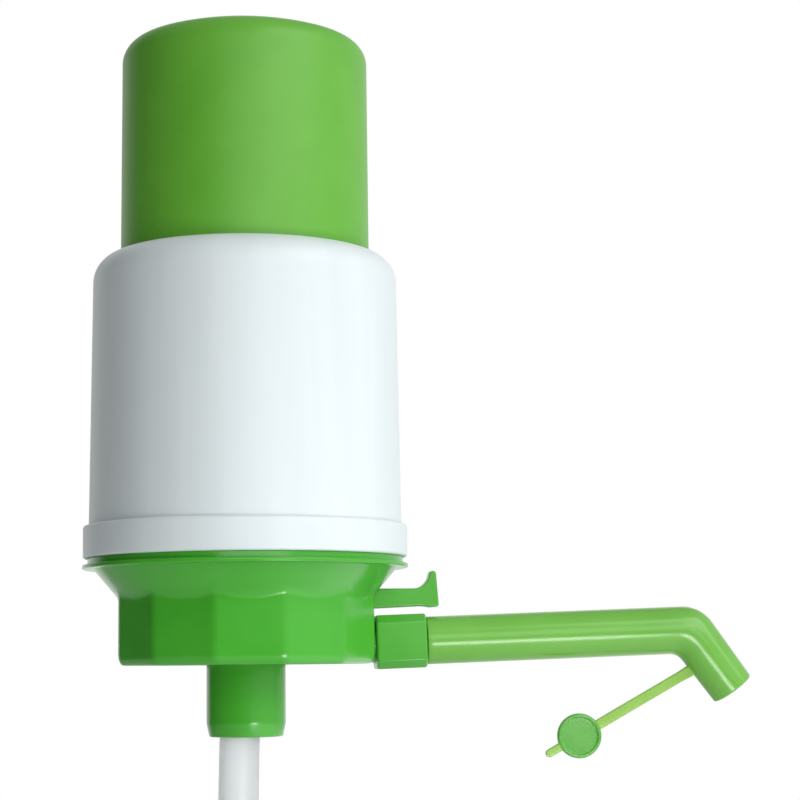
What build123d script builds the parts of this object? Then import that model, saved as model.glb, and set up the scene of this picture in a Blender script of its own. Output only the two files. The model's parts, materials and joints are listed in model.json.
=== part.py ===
from build123d import *
from math import atan2, cos, degrees, radians, sin, sqrt, tan
import os

# Hand press pump for a large water jug, in millimetres.
# The origin is the centre of the neck seal's underside, where the jug's rim meets the pump.
# +Z goes up the pump's axis and +X points along the spout.

# ---------------------------------------------------------------- driving dimensions

# jug neck that the pump is made for
neck_outer_r = 27.5
neck_bore_r = 23.0
neck_clearance = 0.4
grip_band_h = 3.0
finger_count = 10
finger_share = 0.74
finger_h = 2.2
finger_lip_h = 1.6

# running, sliding and assembly clearances
running_gap = 0.06
slip_gap = 0.3
soft_gap = 0.3
press_gap = 0.02

# reach of one form into the next where they fuse, and of a cut past the face it opens
fuse = 1.0

# base: twelve-sided collar, funnel, rim and spigot
collar_sides = 12
collar_flat_r = 33.5
collar_drop = 11.0
collar_wall = 1.7
collar_edge_r = 1.6
funnel_bottom_z = 6.4
funnel_h = 7.9
funnel_top_r = 40.2
funnel_wall = 2.2
rim_r = 43.2
rim_h = 1.1
rim_edge_r = 0.35
band_r = 41.8
band_h = 1.7
spigot_h = 6.3
spigot_wall = 2.2
seal_h = 2.0
floor_h = 2.0

# nozzle sleeve under the floor, and the tube spigot inside it
nozzle_r = 10.45
nozzle_wall = 1.6
nozzle_drop = 29.8
nozzle_edge_r = 0.8
spigot_bore_r = 3.1
spigot_tube_wall = 0.9
spigot_flange_r = 6.5
spigot_flange_h = 1.2

# water way through the base: gallery beside the neck, riser, and duct over the floor
gallery_wall = 1.1
gallery_h = 7.4
gallery_start_deg = -10.0
riser_start_deg = 21.0
riser_end_deg = 38.0
gallery_side_deg = 3.0
duct_bore_w = 8.0
duct_bore_h = 2.6
duct_wall = 1.2
duct_floor = 1.0
hub_r = 7.5
hub_bore_r = 4.5

# air way from the valve plate down to the jug
air_ring_r = 17.4
air_ring_wall = 1.4
air_ring_h = 5.0
air_ledge_w = 2.0
air_gasket_h = 1.4
air_hole_r = 1.5
air_hole_ring_r = 12.2
air_hole_count = 5

# valve plate, its posts and screws
plate_z = 26.2
plate_h = 2.5
plate_r = 38.0
post_ring_r = 31.0
post_r = 2.8
post_count = 4
screw_r = 1.2
screw_head_r = 2.7
screw_head_h = 2.0
screw_depth = 10.0

# check valves
valve_hole_r = 1.6
valve_hole_ring_r = 7.0
valve_hole_count = 6
valve_disc_r = 9.6
valve_disc_h = 1.2
valve_lift = 1.2
rivet_r = 1.5
rivet_head_r = 3.4
rivet_head_h = 1.2

# bellows and return spring
bellows_r = 28.5
bellows_root_r = 22.0
bellows_wall = 1.3
bellows_folds = 10
bellows_seat_r = 24.0
bellows_seat_h = 2.5
cuff_wall = 2.0
cuff_lip_h = 1.2
spring_r = 14.0
spring_wire = 1.8
spring_turns = 10
spring_guide_h = 1.8
spring_guide_r = 12.5
spring_guide_wall = 1.5

# outer cover
cover_h = 81.4
cover_top_r = 40.7
cover_bottom_r = 41.6
cover_wall = 2.0
cover_shoulder_r = 7.8
foot_r = 43.0
foot_h = 8.6
foot_edge_r = 0.7
lug_count = 4
lug_h = 2.0
lug_deg = 14.0
lug_proud = 0.8
lug_side_deg = 0.6

# push cap
cap_apex_z = 162.0
cap_dome_r = 84.6
cap_edge_r = 6.3
cap_top_r = 33.15
cap_mouth_r = 33.4
cap_wall = 2.0
cap_bead_gap = 0.7
cap_bead_h = 3.0
bellows_plate_z = 148.0
cap_boss_r = 3.2
cap_boss_ring_r = 18.0
cap_boss_count = 3
cap_screw_depth = 6.0

# spout block, spout tube and elbow
spout_rise_deg = 1.8
spout_drop_z = 5.25
block_start_x = 34.2
block_len = 13.4
block_side = 14.2
block_bevel = 2.0
block_end_bevel = 0.7
stub_r = 4.3
stub_len = 2.9
water_bore_r = 2.9
neck_r = 5.5
spout_r = 6.35
spout_wall = 1.5
spout_spigot_r = 5.2
spout_spigot_len = 8.0
spout_reach = 119.5
spout_bend_r = 7.8
spout_turn_deg = 55.6
outlet_leg = 19.8
outlet_r = 6.05
outlet_edge_r = 0.6
o_ring_r = 0.4
inlet_groove_x = 1.5
spout_groove_x = 4.0

# dust cap and its strap
strap_along_leg = 8.75
strap_len = 33.4
strap_w = 2.75
strap_h = 1.5
strap_slope_deg = 29.0
strap_stem_len = 1.0
dust_disc_r = 5.95
dust_disc_h = 2.2
dust_disc_edge_r = 0.9
dust_plug_len = 4.0
dust_plug_wall = 1.0
tab_len = 4.4
tab_w = 2.2

# release lever and release valve
lever_pivot_x = 30.6
lever_pivot_z = 7.0
lever_w = 6.0
lever_pin_r = 1.0
lever_hub_r = 2.3
lever_bottom_z = 3.5
lever_top_z = 8.6
lever_slot_top_z = 10.3
lever_lean = 0.6
lever_arm_top_z = 8.8
lever_fork_reach = 2.2
lever_tip_x = 51.3
lever_tip_z = 13.4
lever_tip_w = 2.4
lever_thumb_len = 7.0
lever_rise = 0.4
lever_side_gap = 0.4
lever_press_deg = 3.5
ear_w = 2.0
vent_x = 20.4
vent_hole_r = 1.5
vent_boss_r = 2.8
vent_boss_h = 1.0
vent_seal_h = 0.8
vent_disc_h = 0.8
vent_stem_r = 0.8
vent_head_r = 2.0
vent_head_h = 1.0
vent_spring_r = 1.75
vent_spring_wire = 0.5
vent_spring_turns = 5
vent_spring_h = 10.0
vent_boss_wall = 1.2
vent_cup_share = 0.4

# dip tube, in push-together lengths
dip_tube_r = 5.3
dip_tube_wall = 1.15
dip_tube_len = 155.0
dip_tube_top_z = 0.5
dip_tube_straight = 12.0
dip_tube_shift = 1.75
dip_tube_lean_deg = 1.2
dip_tube_bend_r = 100.0
coupler_len = 24.0
coupler_wall = 1.2
coupler_stop_h = 1.6
foot_notch_h = 4.0
foot_notch_w = 3.0

# ---------------------------------------------------------------- derived places

collar_vertex_r = collar_flat_r / cos(radians(180 / collar_sides))
collar_bore_r = collar_flat_r - collar_wall
funnel_slope = (funnel_top_r - collar_flat_r) / funnel_h
rim_z = funnel_bottom_z + funnel_h
band_z = rim_z + rim_h
cover_z = band_z + band_h
floor_top_z = seal_h + floor_h
foot_bore_r = foot_r - cover_wall
spigot_r = foot_bore_r - slip_gap
spigot_top_z = cover_z + spigot_h
duct_bore_z = seal_h + duct_floor
duct_top_z = duct_bore_z + duct_bore_h + duct_wall
duct_deg = (riser_start_deg + riser_end_deg) / 2
gallery_inner_r = neck_outer_r + 1.5 * neck_clearance
gallery_bore_r = gallery_inner_r + gallery_wall
plate_top_z = plate_z + plate_h
bellows_seat_z = plate_top_z + bellows_seat_h
bellows_plate_top_z = bellows_plate_z + plate_h
cover_top_z = cover_z + cover_h
shoulder_centre_z = cover_top_z - cover_shoulder_r
shoulder_centre_r = cover_top_r - cover_shoulder_r
cap_opening_r = cap_mouth_r + slip_gap
lug_z = cover_z + spigot_h / 2

cap_dome_z = cap_apex_z - cap_dome_r
cap_edge_z = cap_dome_z + sqrt((cap_dome_r - cap_edge_r) ** 2 - (cap_top_r - cap_edge_r) ** 2)
cap_edge_turn = atan2(cap_edge_z - cap_dome_z, cap_top_r - cap_edge_r)
cap_bead_r = cover_top_r - cover_wall - cap_bead_gap
bead_reach = cover_shoulder_r - cover_wall - slip_gap
cap_bead_top_z = shoulder_centre_z + sqrt(bead_reach**2 - (cap_bead_r - shoulder_centre_r) ** 2)
cap_bead_z = cap_bead_top_z - cap_bead_h

lever_pin_len = lever_w + 2 * lever_side_gap + 2 * ear_w
lever_arm_bottom_z = lever_pivot_z
vent_boss_top_z = floor_top_z + vent_boss_h
vent_disc_z = vent_boss_top_z + vent_seal_h
vent_head_z = lever_arm_top_z
vent_spring_z = vent_head_z + vent_head_h
vent_spring_top_z = vent_spring_z + vent_spring_h
vent_cup_r = vent_spring_r + vent_spring_wire / 2 + soft_gap

dip_tube_bore_r = dip_tube_r - dip_tube_wall
dip_entry = Vector(0, 0, dip_tube_top_z)
dip_knee = Vector(0, 0, dip_tube_top_z - dip_tube_straight)
dip_mouth = Vector(-dip_tube_shift, 0, -nozzle_drop - slip_gap)
dip_knee_turn = atan2(dip_tube_shift, dip_knee.Z - dip_mouth.Z)
dip_axis = Vector(-sin(radians(dip_tube_lean_deg)), 0, -cos(radians(dip_tube_lean_deg)))
spigot_reach = dip_tube_straight - dip_tube_bend_r * tan(dip_knee_turn / 2)

spout_axis = Vector(cos(radians(spout_rise_deg)), 0, sin(radians(spout_rise_deg)))
spout_base = Vector(block_start_x + block_len / 2, 0, -spout_drop_z)
spout_start = spout_base - spout_axis * (block_len / 2)
spout_plane = Plane(origin=spout_start, x_dir=(0, 1, 0), z_dir=spout_axis)
spout_shoulder = spout_start + spout_axis * (block_len + slip_gap)
leg_deg = spout_rise_deg - spout_turn_deg
leg_axis = Vector(cos(radians(leg_deg)), 0, sin(radians(leg_deg)))
elbow = spout_base + spout_axis * ((spout_reach - spout_base.X) / spout_axis.X)
outlet = elbow + leg_axis * outlet_leg

post_turn_deg = 180 / post_count


# ---------------------------------------------------------------- shared helpers


def radial_plane(deg):
    """Upright plane through the pump's axis: its X points outwards at this angle, its Y points up."""
    turn = radians(deg)
    return Plane(origin=(0, 0, 0), x_dir=(cos(turn), sin(turn), 0), z_dir=(sin(turn), -cos(turn), 0))


def keep_sector(start_deg, end_deg):
    """Trim the open sketch to the sector between two angles."""
    reach = 2 * foot_r
    corners = [(0, 0)]
    for deg in (start_deg, (start_deg + end_deg) / 2, end_deg):
        corners.append((reach * cos(radians(deg)), reach * sin(radians(deg))))
    Polygon(*corners, align=None, mode=Mode.INTERSECT)


def biarc(start, start_dir, end, end_dir):
    """Two tangent arcs from one point and direction to another, added to the open line."""
    chord = end - start
    both = start_dir + end_dir
    fall = 2 * (1 - start_dir.dot(end_dir))
    reach = (sqrt(chord.dot(both) ** 2 + fall * chord.dot(chord)) - chord.dot(both)) / fall
    knot_a = start + start_dir * reach
    knot_b = end - end_dir * reach
    TangentArc(start, (knot_a + knot_b) / 2, tangent=start_dir)
    TangentArc((knot_a + knot_b) / 2, end, tangent=knot_b - knot_a)


def coil_path(centre, coil_r, low_z, high_z, turns, wire):
    """A compression spring's centre line: upright ends, bends, and turns of half-turn biarcs."""
    bend_h = 2.2 * wire
    bottom = low_z + wire + bend_h
    top = high_z - wire - bend_h
    lead_deg = 30
    pitch = (top - bottom) / turns

    def knot(deg):
        turn = radians(deg)
        return centre + Vector(coil_r * cos(turn), coil_r * sin(turn), bottom + pitch * deg / 360)

    def course(deg):
        turn = radians(deg)
        return Vector(-coil_r * sin(turn), coil_r * cos(turn), pitch / radians(360)).normalized()

    def upright(deg, z):
        turn = radians(deg)
        return centre + Vector(coil_r * cos(turn), coil_r * sin(turn), z)

    last_deg = 360 * turns
    up = Vector(0, 0, 1)
    Line(upright(-lead_deg, low_z), upright(-lead_deg, low_z + wire))
    biarc(upright(-lead_deg, low_z + wire), up, knot(0), course(0))
    for half in range(2 * turns):
        biarc(knot(180 * half), course(180 * half), knot(180 * half + 180), course(180 * half + 180))
    biarc(knot(last_deg), course(last_deg), upright(last_deg + lead_deg, high_z - wire), up)
    Line(upright(last_deg + lead_deg, high_z - wire), upright(last_deg + lead_deg, high_z))


def self_gap(wire_path, turns, wire):
    """Least distance between points of a coil that are over half a turn apart, less the wire."""
    count = 40 * turns
    points = [wire_path @ (i / count) for i in range(count + 1)]
    gaps = []
    for i, point in enumerate(points):
        gaps += [(point - other).length for other in points[i + 20:]]
    return min(gaps) - wire


def o_ring(plane, outer_r):
    """A rubber ring in its groove, around the normal of this plane."""
    with BuildPart(plane) as ring:
        Torus(outer_r - o_ring_r, o_ring_r)
    return ring


def check_disc(seat_z):
    """A check valve's rubber disc, closed against the flat underside of its plate."""
    with BuildPart() as disc:
        with BuildSketch(Plane.XY.offset(seat_z - valve_disc_h)):
            Circle(valve_disc_r)
            Circle(rivet_r + running_gap, mode=Mode.SUBTRACT)
        extrude(amount=valve_disc_h)
    return disc


def check_rivet(seat_z, top_z):
    """The rivet that a check valve's disc slides on, clinched on the plate's upper face."""
    with BuildPart() as rivet:
        with BuildSketch(Plane.XY.offset(seat_z - valve_disc_h - valve_lift - slip_gap - rivet_head_h)):
            Circle(rivet_head_r)
        extrude(amount=rivet_head_h)
        with BuildSketch(rivet.faces().sort_by(Axis.Z)[-1]):
            Circle(rivet_r)
        extrude(amount=top_z - seat_z + valve_disc_h + valve_lift + slip_gap)
        with BuildSketch(Plane.XY.offset(top_z)):
            Circle(rivet_head_r / 2 + rivet_r / 2)
        extrude(amount=rivet_head_h / 2)
    return rivet


def tube_length(plane, length):
    """One straight length of dip tube, along the normal of this plane."""
    with BuildPart() as tube:
        with BuildSketch(plane):
            Circle(dip_tube_r)
            Circle(dip_tube_bore_r, mode=Mode.SUBTRACT)
        extrude(amount=length)
    return tube


def coupler(plane):
    """Sleeve that joins two lengths of dip tube, centred on this plane, with a stop between them."""
    with BuildPart() as sleeve:
        with BuildSketch(plane):
            Circle(dip_tube_r + coupler_wall)
        extrude(amount=coupler_len / 2, both=True)
        with BuildSketch(plane):
            Circle(dip_tube_r + press_gap)
        extrude(amount=coupler_len / 2, both=True, mode=Mode.SUBTRACT)
        with BuildSketch(plane):
            Circle(dip_tube_r + coupler_wall)
            Circle(dip_tube_bore_r, mode=Mode.SUBTRACT)
        extrude(amount=coupler_stop_h / 2, both=True)
    return sleeve


def domed_outline(shrink, low_z):
    """Half outline of the push cap: tapered wall, rounded edge and dome, drawn inwards by a wall."""
    edge_r = cap_edge_r - shrink
    dome_r = cap_dome_r - shrink
    low_point = (cap_mouth_r - shrink, low_z)
    wall_top = (cap_top_r - shrink, cap_edge_z)
    edge_top = (dome_r * cos(cap_edge_turn), cap_dome_z + dome_r * sin(cap_edge_turn))
    apex = (0, cap_dome_z + dome_r)
    turn = cap_edge_turn / 2
    edge_mid = (cap_top_r - cap_edge_r + edge_r * cos(turn), cap_edge_z + edge_r * sin(turn))
    Line(low_point, wall_top)
    ThreePointArc(wall_top, edge_mid, edge_top)
    RadiusArc(edge_top, apex, -dome_r)
    Line(apex, (0, low_z))
    Line((0, low_z), low_point)


def cover_outline(shrink, foot_bottom_z, foot_top_z):
    """Half outline of the outer cover: stepped foot, tapered wall and rounded shoulder."""
    lean = (cover_bottom_r - cover_top_r) / (shoulder_centre_z - cover_z)
    step_r = cover_top_r + lean * (shoulder_centre_z - foot_top_z) - shrink
    shoulder_r = cover_shoulder_r - shrink
    Polyline(
        (0, shoulder_centre_z + shoulder_r),
        (0, foot_bottom_z),
        (foot_r - shrink, foot_bottom_z),
        (foot_r - shrink, foot_top_z),
        (step_r, foot_top_z),
        (cover_top_r - shrink, shoulder_centre_z),
    )
    CenterArc((shoulder_centre_r, shoulder_centre_z), shoulder_r, 0, 90)
    Line((shoulder_centre_r, shoulder_centre_z + shoulder_r), (0, shoulder_centre_z + shoulder_r))


os.makedirs("parts", exist_ok=True)

# ---------------------------------------------------------------- base

with BuildPart() as base_body:
    # outer form: twelve-sided collar, then funnel, rim, band and spigot as one turned form
    with BuildSketch(Plane.XY.offset(-collar_drop)):
        RegularPolygon(radius=collar_vertex_r, side_count=collar_sides, rotation=180 / collar_sides)
    prism_h = collar_drop + funnel_bottom_z + (collar_vertex_r - collar_flat_r) / funnel_slope
    extrude(amount=prism_h)
    fillet(base_body.faces().sort_by(Axis.Z)[0].edges(), radius=collar_edge_r)
    with BuildSketch(Plane.XZ) as funnel_profile:
        with BuildLine():
            Polyline(
                (0, 0),
                (collar_flat_r - fuse, 0),
                (collar_flat_r - fuse, funnel_bottom_z - fuse / funnel_slope),
                (funnel_top_r, rim_z),
                (rim_r, rim_z),
                (rim_r, band_z),
                (band_r, band_z),
                (band_r, cover_z),
                (spigot_r, cover_z),
                (spigot_r, spigot_top_z),
                (0, spigot_top_z),
                close=True,
            )
        make_face()
        rim_corners = funnel_profile.vertices().filter_by_position(Axis.X, rim_r - 0.01, rim_r + 0.01)
        fillet(rim_corners, radius=rim_edge_r)
    revolve(axis=Axis.Z)
    # room above the floor, under the valve plate
    with BuildSketch(Plane.XZ):
        with BuildLine():
            Polyline(
                (0, floor_top_z),
                (collar_bore_r, floor_top_z),
                (collar_bore_r, funnel_bottom_z),
                (funnel_top_r - funnel_wall, rim_z),
                (spigot_r - spigot_wall, band_z),
                (spigot_r - spigot_wall, spigot_top_z + fuse),
                (0, spigot_top_z + fuse),
                close=True,
            )
        make_face()
    revolve(axis=Axis.Z, mode=Mode.SUBTRACT)
    # socket for the jug's neck, under the floor
    with BuildSketch(Plane.XY.offset(-collar_drop - fuse)):
        Circle(collar_bore_r)
    extrude(amount=collar_drop + fuse + seal_h, mode=Mode.SUBTRACT)
    # nozzle sleeve
    with BuildSketch(Plane.XY.offset(-nozzle_drop)):
        Circle(nozzle_r)
    extrude(amount=nozzle_drop + seal_h)
    fillet(base_body.edges().group_by(Axis.Z)[0], radius=nozzle_edge_r)
    with BuildSketch(Plane.XY.offset(-nozzle_drop)):
        Circle(nozzle_r - nozzle_wall)
    extrude(amount=nozzle_drop + seal_h, mode=Mode.SUBTRACT)
    # water gallery: a thick sector of the collar's wall beside the jug's neck
    with BuildSketch(Plane.XY.offset(-collar_drop + collar_wall / 2)):
        Circle(collar_bore_r + collar_wall / 2)
        Circle(gallery_inner_r, mode=Mode.SUBTRACT)
        keep_sector(gallery_start_deg - gallery_side_deg, riser_end_deg + gallery_side_deg)
    extrude(amount=collar_drop - collar_wall / 2 + seal_h)
    # hub, air ring with its ledge, vent boss, water duct and screw posts on the floor
    with BuildSketch(Plane.XY.offset(seal_h)):
        Circle(hub_r)
    extrude(amount=duct_top_z - seal_h)
    with BuildSketch(Plane.XY.offset(seal_h)):
        Circle(air_ring_r)
        Circle(air_ring_r - air_ring_wall - air_ledge_w, mode=Mode.SUBTRACT)
    extrude(amount=duct_top_z - seal_h)
    with BuildSketch(Plane.XY.offset(duct_top_z)):
        Circle(air_ring_r)
        Circle(air_ring_r - air_ring_wall, mode=Mode.SUBTRACT)
    extrude(amount=air_ring_h)
    with BuildSketch(Plane.XY.offset(seal_h)):
        with Locations((vent_x, 0)):
            Circle(vent_boss_r)
    extrude(amount=floor_h + vent_boss_h)
    duct_plane = Plane(
        origin=(0, 0, seal_h), x_dir=(cos(radians(duct_deg)), sin(radians(duct_deg)), 0), z_dir=(0, 0, 1)
    )
    with BuildSketch(duct_plane):
        with Locations((collar_bore_r / 2, 0)):
            Rectangle(collar_bore_r, duct_bore_w + 2 * duct_wall)
    extrude(amount=duct_top_z - seal_h)
    with BuildSketch(Plane.XY.offset(floor_top_z - floor_h / 2)):
        with PolarLocations(post_ring_r, post_count, start_angle=post_turn_deg):
            Circle(post_r)
    extrude(amount=plate_z - floor_top_z + floor_h / 2)
    # ears that carry the lever's pin
    with BuildSketch(Plane.XY.offset(floor_top_z - floor_h / 2)):
        ear_y = lever_w / 2 + lever_side_gap + ear_w / 2
        with Locations((lever_pivot_x, ear_y), (lever_pivot_x, -ear_y)):
            Rectangle(2 * lever_hub_r, ear_w)
    extrude(amount=lever_pivot_z + lever_hub_r - floor_top_z + floor_h / 2)
    # water way: port for the block's stub, gallery, riser, duct and hub
    with BuildSketch(spout_plane.offset(-stub_len - slip_gap)):
        Circle(stub_r + press_gap)
    extrude(amount=stub_len + fuse, mode=Mode.SUBTRACT)
    with BuildSketch(Plane.XY.offset(-spout_drop_z - gallery_h / 2)):
        Circle(collar_bore_r)
        Circle(gallery_bore_r, mode=Mode.SUBTRACT)
        keep_sector(gallery_start_deg, riser_end_deg)
    extrude(amount=gallery_h, mode=Mode.SUBTRACT)
    with BuildSketch(Plane.XY.offset(-spout_drop_z)):
        Circle(collar_bore_r)
        Circle(gallery_bore_r, mode=Mode.SUBTRACT)
        keep_sector(riser_start_deg, riser_end_deg)
    extrude(amount=spout_drop_z + duct_bore_z + duct_bore_h, mode=Mode.SUBTRACT)
    with BuildSketch(duct_plane.offset(duct_floor)):
        with Locations((gallery_bore_r / 2, 0)):
            Rectangle(gallery_bore_r + fuse, duct_bore_w)
    extrude(amount=duct_bore_h, mode=Mode.SUBTRACT)
    with BuildSketch(Plane.XY.offset(seal_h - fuse)):
        Circle(hub_bore_r)
    extrude(amount=duct_floor + duct_bore_h + fuse, mode=Mode.SUBTRACT)
    # air holes, vent hole, screw pilots, lever slot and pin hole
    air_pitch = 360 / (air_hole_count + 1)
    air_span = 360 - 2 * air_pitch
    with BuildSketch(Plane.XY.offset(seal_h - fuse)):
        with PolarLocations(air_hole_ring_r, air_hole_count, duct_deg + air_pitch, air_span, endpoint=True):
            Circle(air_hole_r)
        with Locations((vent_x, 0)):
            Circle(vent_hole_r)
    extrude(amount=floor_h + vent_boss_h + 2 * fuse, mode=Mode.SUBTRACT)
    with BuildSketch(Plane.XY.offset(plate_z - screw_depth - fuse / 2)):
        with PolarLocations(post_ring_r, post_count, start_angle=post_turn_deg):
            Circle(screw_r + press_gap)
    extrude(amount=screw_depth + fuse, mode=Mode.SUBTRACT)
    with BuildSketch(Plane.XZ.offset(-lever_w / 2 - lever_side_gap)):
        slot_start_x = collar_bore_r - slip_gap
        lever_fall = (collar_flat_r - lever_pivot_x) * tan(radians(lever_press_deg))
        slot_bottom_z = lever_bottom_z - slip_gap - lever_fall
        with Locations(((slot_start_x + funnel_top_r) / 2, (slot_bottom_z + lever_slot_top_z) / 2)):
            Rectangle(funnel_top_r - slot_start_x, lever_slot_top_z - slot_bottom_z)
    extrude(amount=lever_w + 2 * lever_side_gap, mode=Mode.SUBTRACT)
    with BuildSketch(Plane.XZ.offset(-lever_pin_len / 2)):
        with Locations((lever_pivot_x, lever_pivot_z)):
            Circle(lever_pin_r + press_gap)
    extrude(amount=lever_pin_len, mode=Mode.SUBTRACT)
    # lugs that lock the cover's foot
    for lug in range(lug_count):
        with BuildSketch(radial_plane(lug * 360 / lug_count)):
            with Locations((spigot_r, lug_z)):
                Rectangle(2 * lug_proud, lug_h)
        revolve(axis=Axis.Z, revolution_arc=lug_deg)

base_body.part.label = "base_body"
export_step(base_body.part, "parts/base_body.step")

# ---------------------------------------------------------------- neck seal, grip and air gasket

with BuildPart() as neck_seal:
    with BuildSketch():
        Circle(neck_outer_r + neck_clearance)
        Circle(neck_bore_r - neck_clearance / 2, mode=Mode.SUBTRACT)
    extrude(amount=seal_h)

neck_seal.part.label = "neck_seal"
export_step(neck_seal.part, "parts/neck_seal.step")

with BuildPart() as neck_grip:
    grip_start_deg = riser_end_deg + 2 * gallery_side_deg
    grip_deg = 360 - grip_start_deg + gallery_start_deg - 2 * gallery_side_deg
    grip_outer_r = collar_bore_r - soft_gap
    finger_pitch_deg = grip_deg / finger_count
    with BuildSketch(radial_plane(grip_start_deg)):
        with Locations(((gallery_inner_r + grip_outer_r) / 2, seal_h - grip_band_h / 2)):
            Rectangle(grip_outer_r - gallery_inner_r, grip_band_h)
    revolve(axis=Axis.Z, revolution_arc=grip_deg)
    for finger in range(finger_count):
        with BuildSketch(radial_plane(grip_start_deg + finger * finger_pitch_deg)):
            with BuildLine():
                Polyline(
                    (gallery_inner_r, seal_h - grip_band_h),
                    (gallery_inner_r, -collar_drop + 2 * finger_lip_h),
                    (neck_outer_r + neck_clearance / 2, -collar_drop + 1.5 * finger_lip_h),
                    (gallery_inner_r, -collar_drop + finger_lip_h / 2),
                    (gallery_inner_r + finger_h, -collar_drop + finger_lip_h / 2),
                    (gallery_inner_r + finger_h, seal_h - grip_band_h),
                    close=True,
                )
            make_face()
        revolve(axis=Axis.Z, revolution_arc=finger_pitch_deg * finger_share)

neck_grip.part.label = "neck_grip"
export_step(neck_grip.part, "parts/neck_grip.step")

with BuildPart() as air_gasket:
    with BuildSketch(Plane.XY.offset(duct_top_z)):
        Circle(air_ring_r - air_ring_wall - slip_gap)
        Circle(air_ring_r - air_ring_wall - air_ledge_w, mode=Mode.SUBTRACT)
    extrude(amount=air_gasket_h)

air_gasket.part.label = "air_gasket"
export_step(air_gasket.part, "parts/air_gasket.step")

# ---------------------------------------------------------------- valve plate and its screws

with BuildPart() as valve_plate:
    with BuildSketch(Plane.XY.offset(plate_z)):
        Circle(plate_r)
        with PolarLocations(post_ring_r, post_count, start_angle=post_turn_deg):
            Circle(screw_r + slip_gap, mode=Mode.SUBTRACT)
    extrude(amount=plate_h)
    # raised seat for the bellows and the spring, open over the valve
    with BuildSketch(Plane.XY.offset(plate_top_z)):
        Circle(bellows_seat_r)
    extrude(amount=bellows_seat_h)
    with BuildSketch(Plane.XY.offset(bellows_seat_z)):
        Circle(spring_guide_r)
    extrude(amount=spring_guide_h)
    with BuildSketch(Plane.XY.offset(plate_top_z)):
        Circle(spring_guide_r - spring_guide_wall)
    extrude(amount=bellows_seat_h + spring_guide_h, mode=Mode.SUBTRACT)
    # skirt that carries the pumped air down to the gasket
    with BuildSketch(Plane.XY.offset(duct_top_z + air_gasket_h)):
        Circle(air_ring_r - air_ring_wall - slip_gap)
        Circle(air_ring_r - air_ring_wall - air_ledge_w, mode=Mode.SUBTRACT)
    extrude(amount=plate_z - duct_top_z - air_gasket_h)
    # cup that holds the release valve's spring
    with BuildSketch(Plane.XY.offset(vent_spring_z + vent_spring_h * vent_cup_share)):
        with Locations((vent_x, 0)):
            Circle(vent_cup_r + vent_boss_wall)
    extrude(amount=plate_z - vent_spring_z - vent_spring_h * vent_cup_share)
    with BuildSketch(Plane.XY.offset(vent_spring_z)):
        with Locations((vent_x, 0)):
            Circle(vent_cup_r)
    extrude(amount=vent_spring_h, mode=Mode.SUBTRACT)
    # valve ports and rivet hole
    with BuildSketch(Plane.XY.offset(plate_z)):
        Circle(rivet_r + press_gap)
        with PolarLocations(valve_hole_ring_r, valve_hole_count):
            Circle(valve_hole_r)
    extrude(amount=plate_h, mode=Mode.SUBTRACT)

valve_plate.part.label = "valve_plate"
export_step(valve_plate.part, "parts/valve_plate.step")

with BuildPart() as plate_screws:
    with BuildSketch(Plane.XY.offset(plate_z - screw_depth)):
        with PolarLocations(post_ring_r, post_count, start_angle=post_turn_deg):
            Circle(screw_r)
    extrude(amount=screw_depth + plate_h)
    with BuildSketch(Plane.XY.offset(plate_top_z)):
        with PolarLocations(post_ring_r, post_count, start_angle=post_turn_deg):
            Circle(screw_head_r)
    extrude(amount=screw_head_h)

plate_screws.part.label = "plate_screws"
export_step(plate_screws.part, "parts/plate_screws.step")

outlet_valve_disc = check_disc(plate_z)
outlet_valve_disc.part.label = "outlet_valve_disc"
export_step(outlet_valve_disc.part, "parts/outlet_valve_disc.step")

outlet_valve_rivet = check_rivet(plate_z, plate_top_z)
outlet_valve_rivet.part.label = "outlet_valve_rivet"
export_step(outlet_valve_rivet.part, "parts/outlet_valve_rivet.step")

# ---------------------------------------------------------------- bellows and return spring

with BuildPart() as bellows:
    fold_low_z = bellows_seat_z + soft_gap + cuff_lip_h
    fold_high_z = bellows_plate_z - soft_gap - cuff_lip_h
    fold_h = (fold_high_z - fold_low_z) / bellows_folds
    cuff_r = bellows_seat_r + soft_gap
    inner_points = [(bellows_root_r, fold_low_z)]
    for fold in range(bellows_folds):
        inner_points.append((bellows_r - bellows_wall, fold_low_z + (fold + 0.5) * fold_h))
        inner_points.append((bellows_root_r, fold_low_z + (fold + 1) * fold_h))
    outer_points = [(r + bellows_wall, z) for r, z in inner_points]
    with BuildSketch(Plane.XZ):
        with BuildLine():
            Polyline(
                (cuff_r, plate_top_z + soft_gap),
                (cuff_r + cuff_wall, plate_top_z + soft_gap),
                (cuff_r + cuff_wall, fold_low_z),
                *outer_points,
                (cuff_r + cuff_wall, fold_high_z),
                (cuff_r + cuff_wall, bellows_plate_top_z - soft_gap),
                (cuff_r, bellows_plate_top_z - soft_gap),
                (cuff_r, bellows_plate_z - soft_gap),
                (bellows_root_r, bellows_plate_z - soft_gap),
                *reversed(inner_points),
                (bellows_root_r, bellows_seat_z + soft_gap),
                (cuff_r, bellows_seat_z + soft_gap),
                close=True,
            )
        make_face()
    revolve(axis=Axis.Z)

bellows.part.label = "bellows"
export_step(bellows.part, "parts/bellows.step")

with BuildPart() as return_spring:
    with BuildLine() as spring_line:
        coil_path(Vector(0, 0, 0), spring_r, bellows_seat_z, bellows_plate_z, spring_turns, spring_wire)
    with BuildSketch(Plane(spring_line.line @ 0, z_dir=(0, 0, 1))):
        Circle(spring_wire / 2)
    sweep()
spring_gap = self_gap(spring_line.line, spring_turns, spring_wire)
print("return spring, least gap to itself:", spring_gap)

return_spring.part.label = "return_spring"
export_step(return_spring.part, "parts/return_spring.step")

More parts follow.
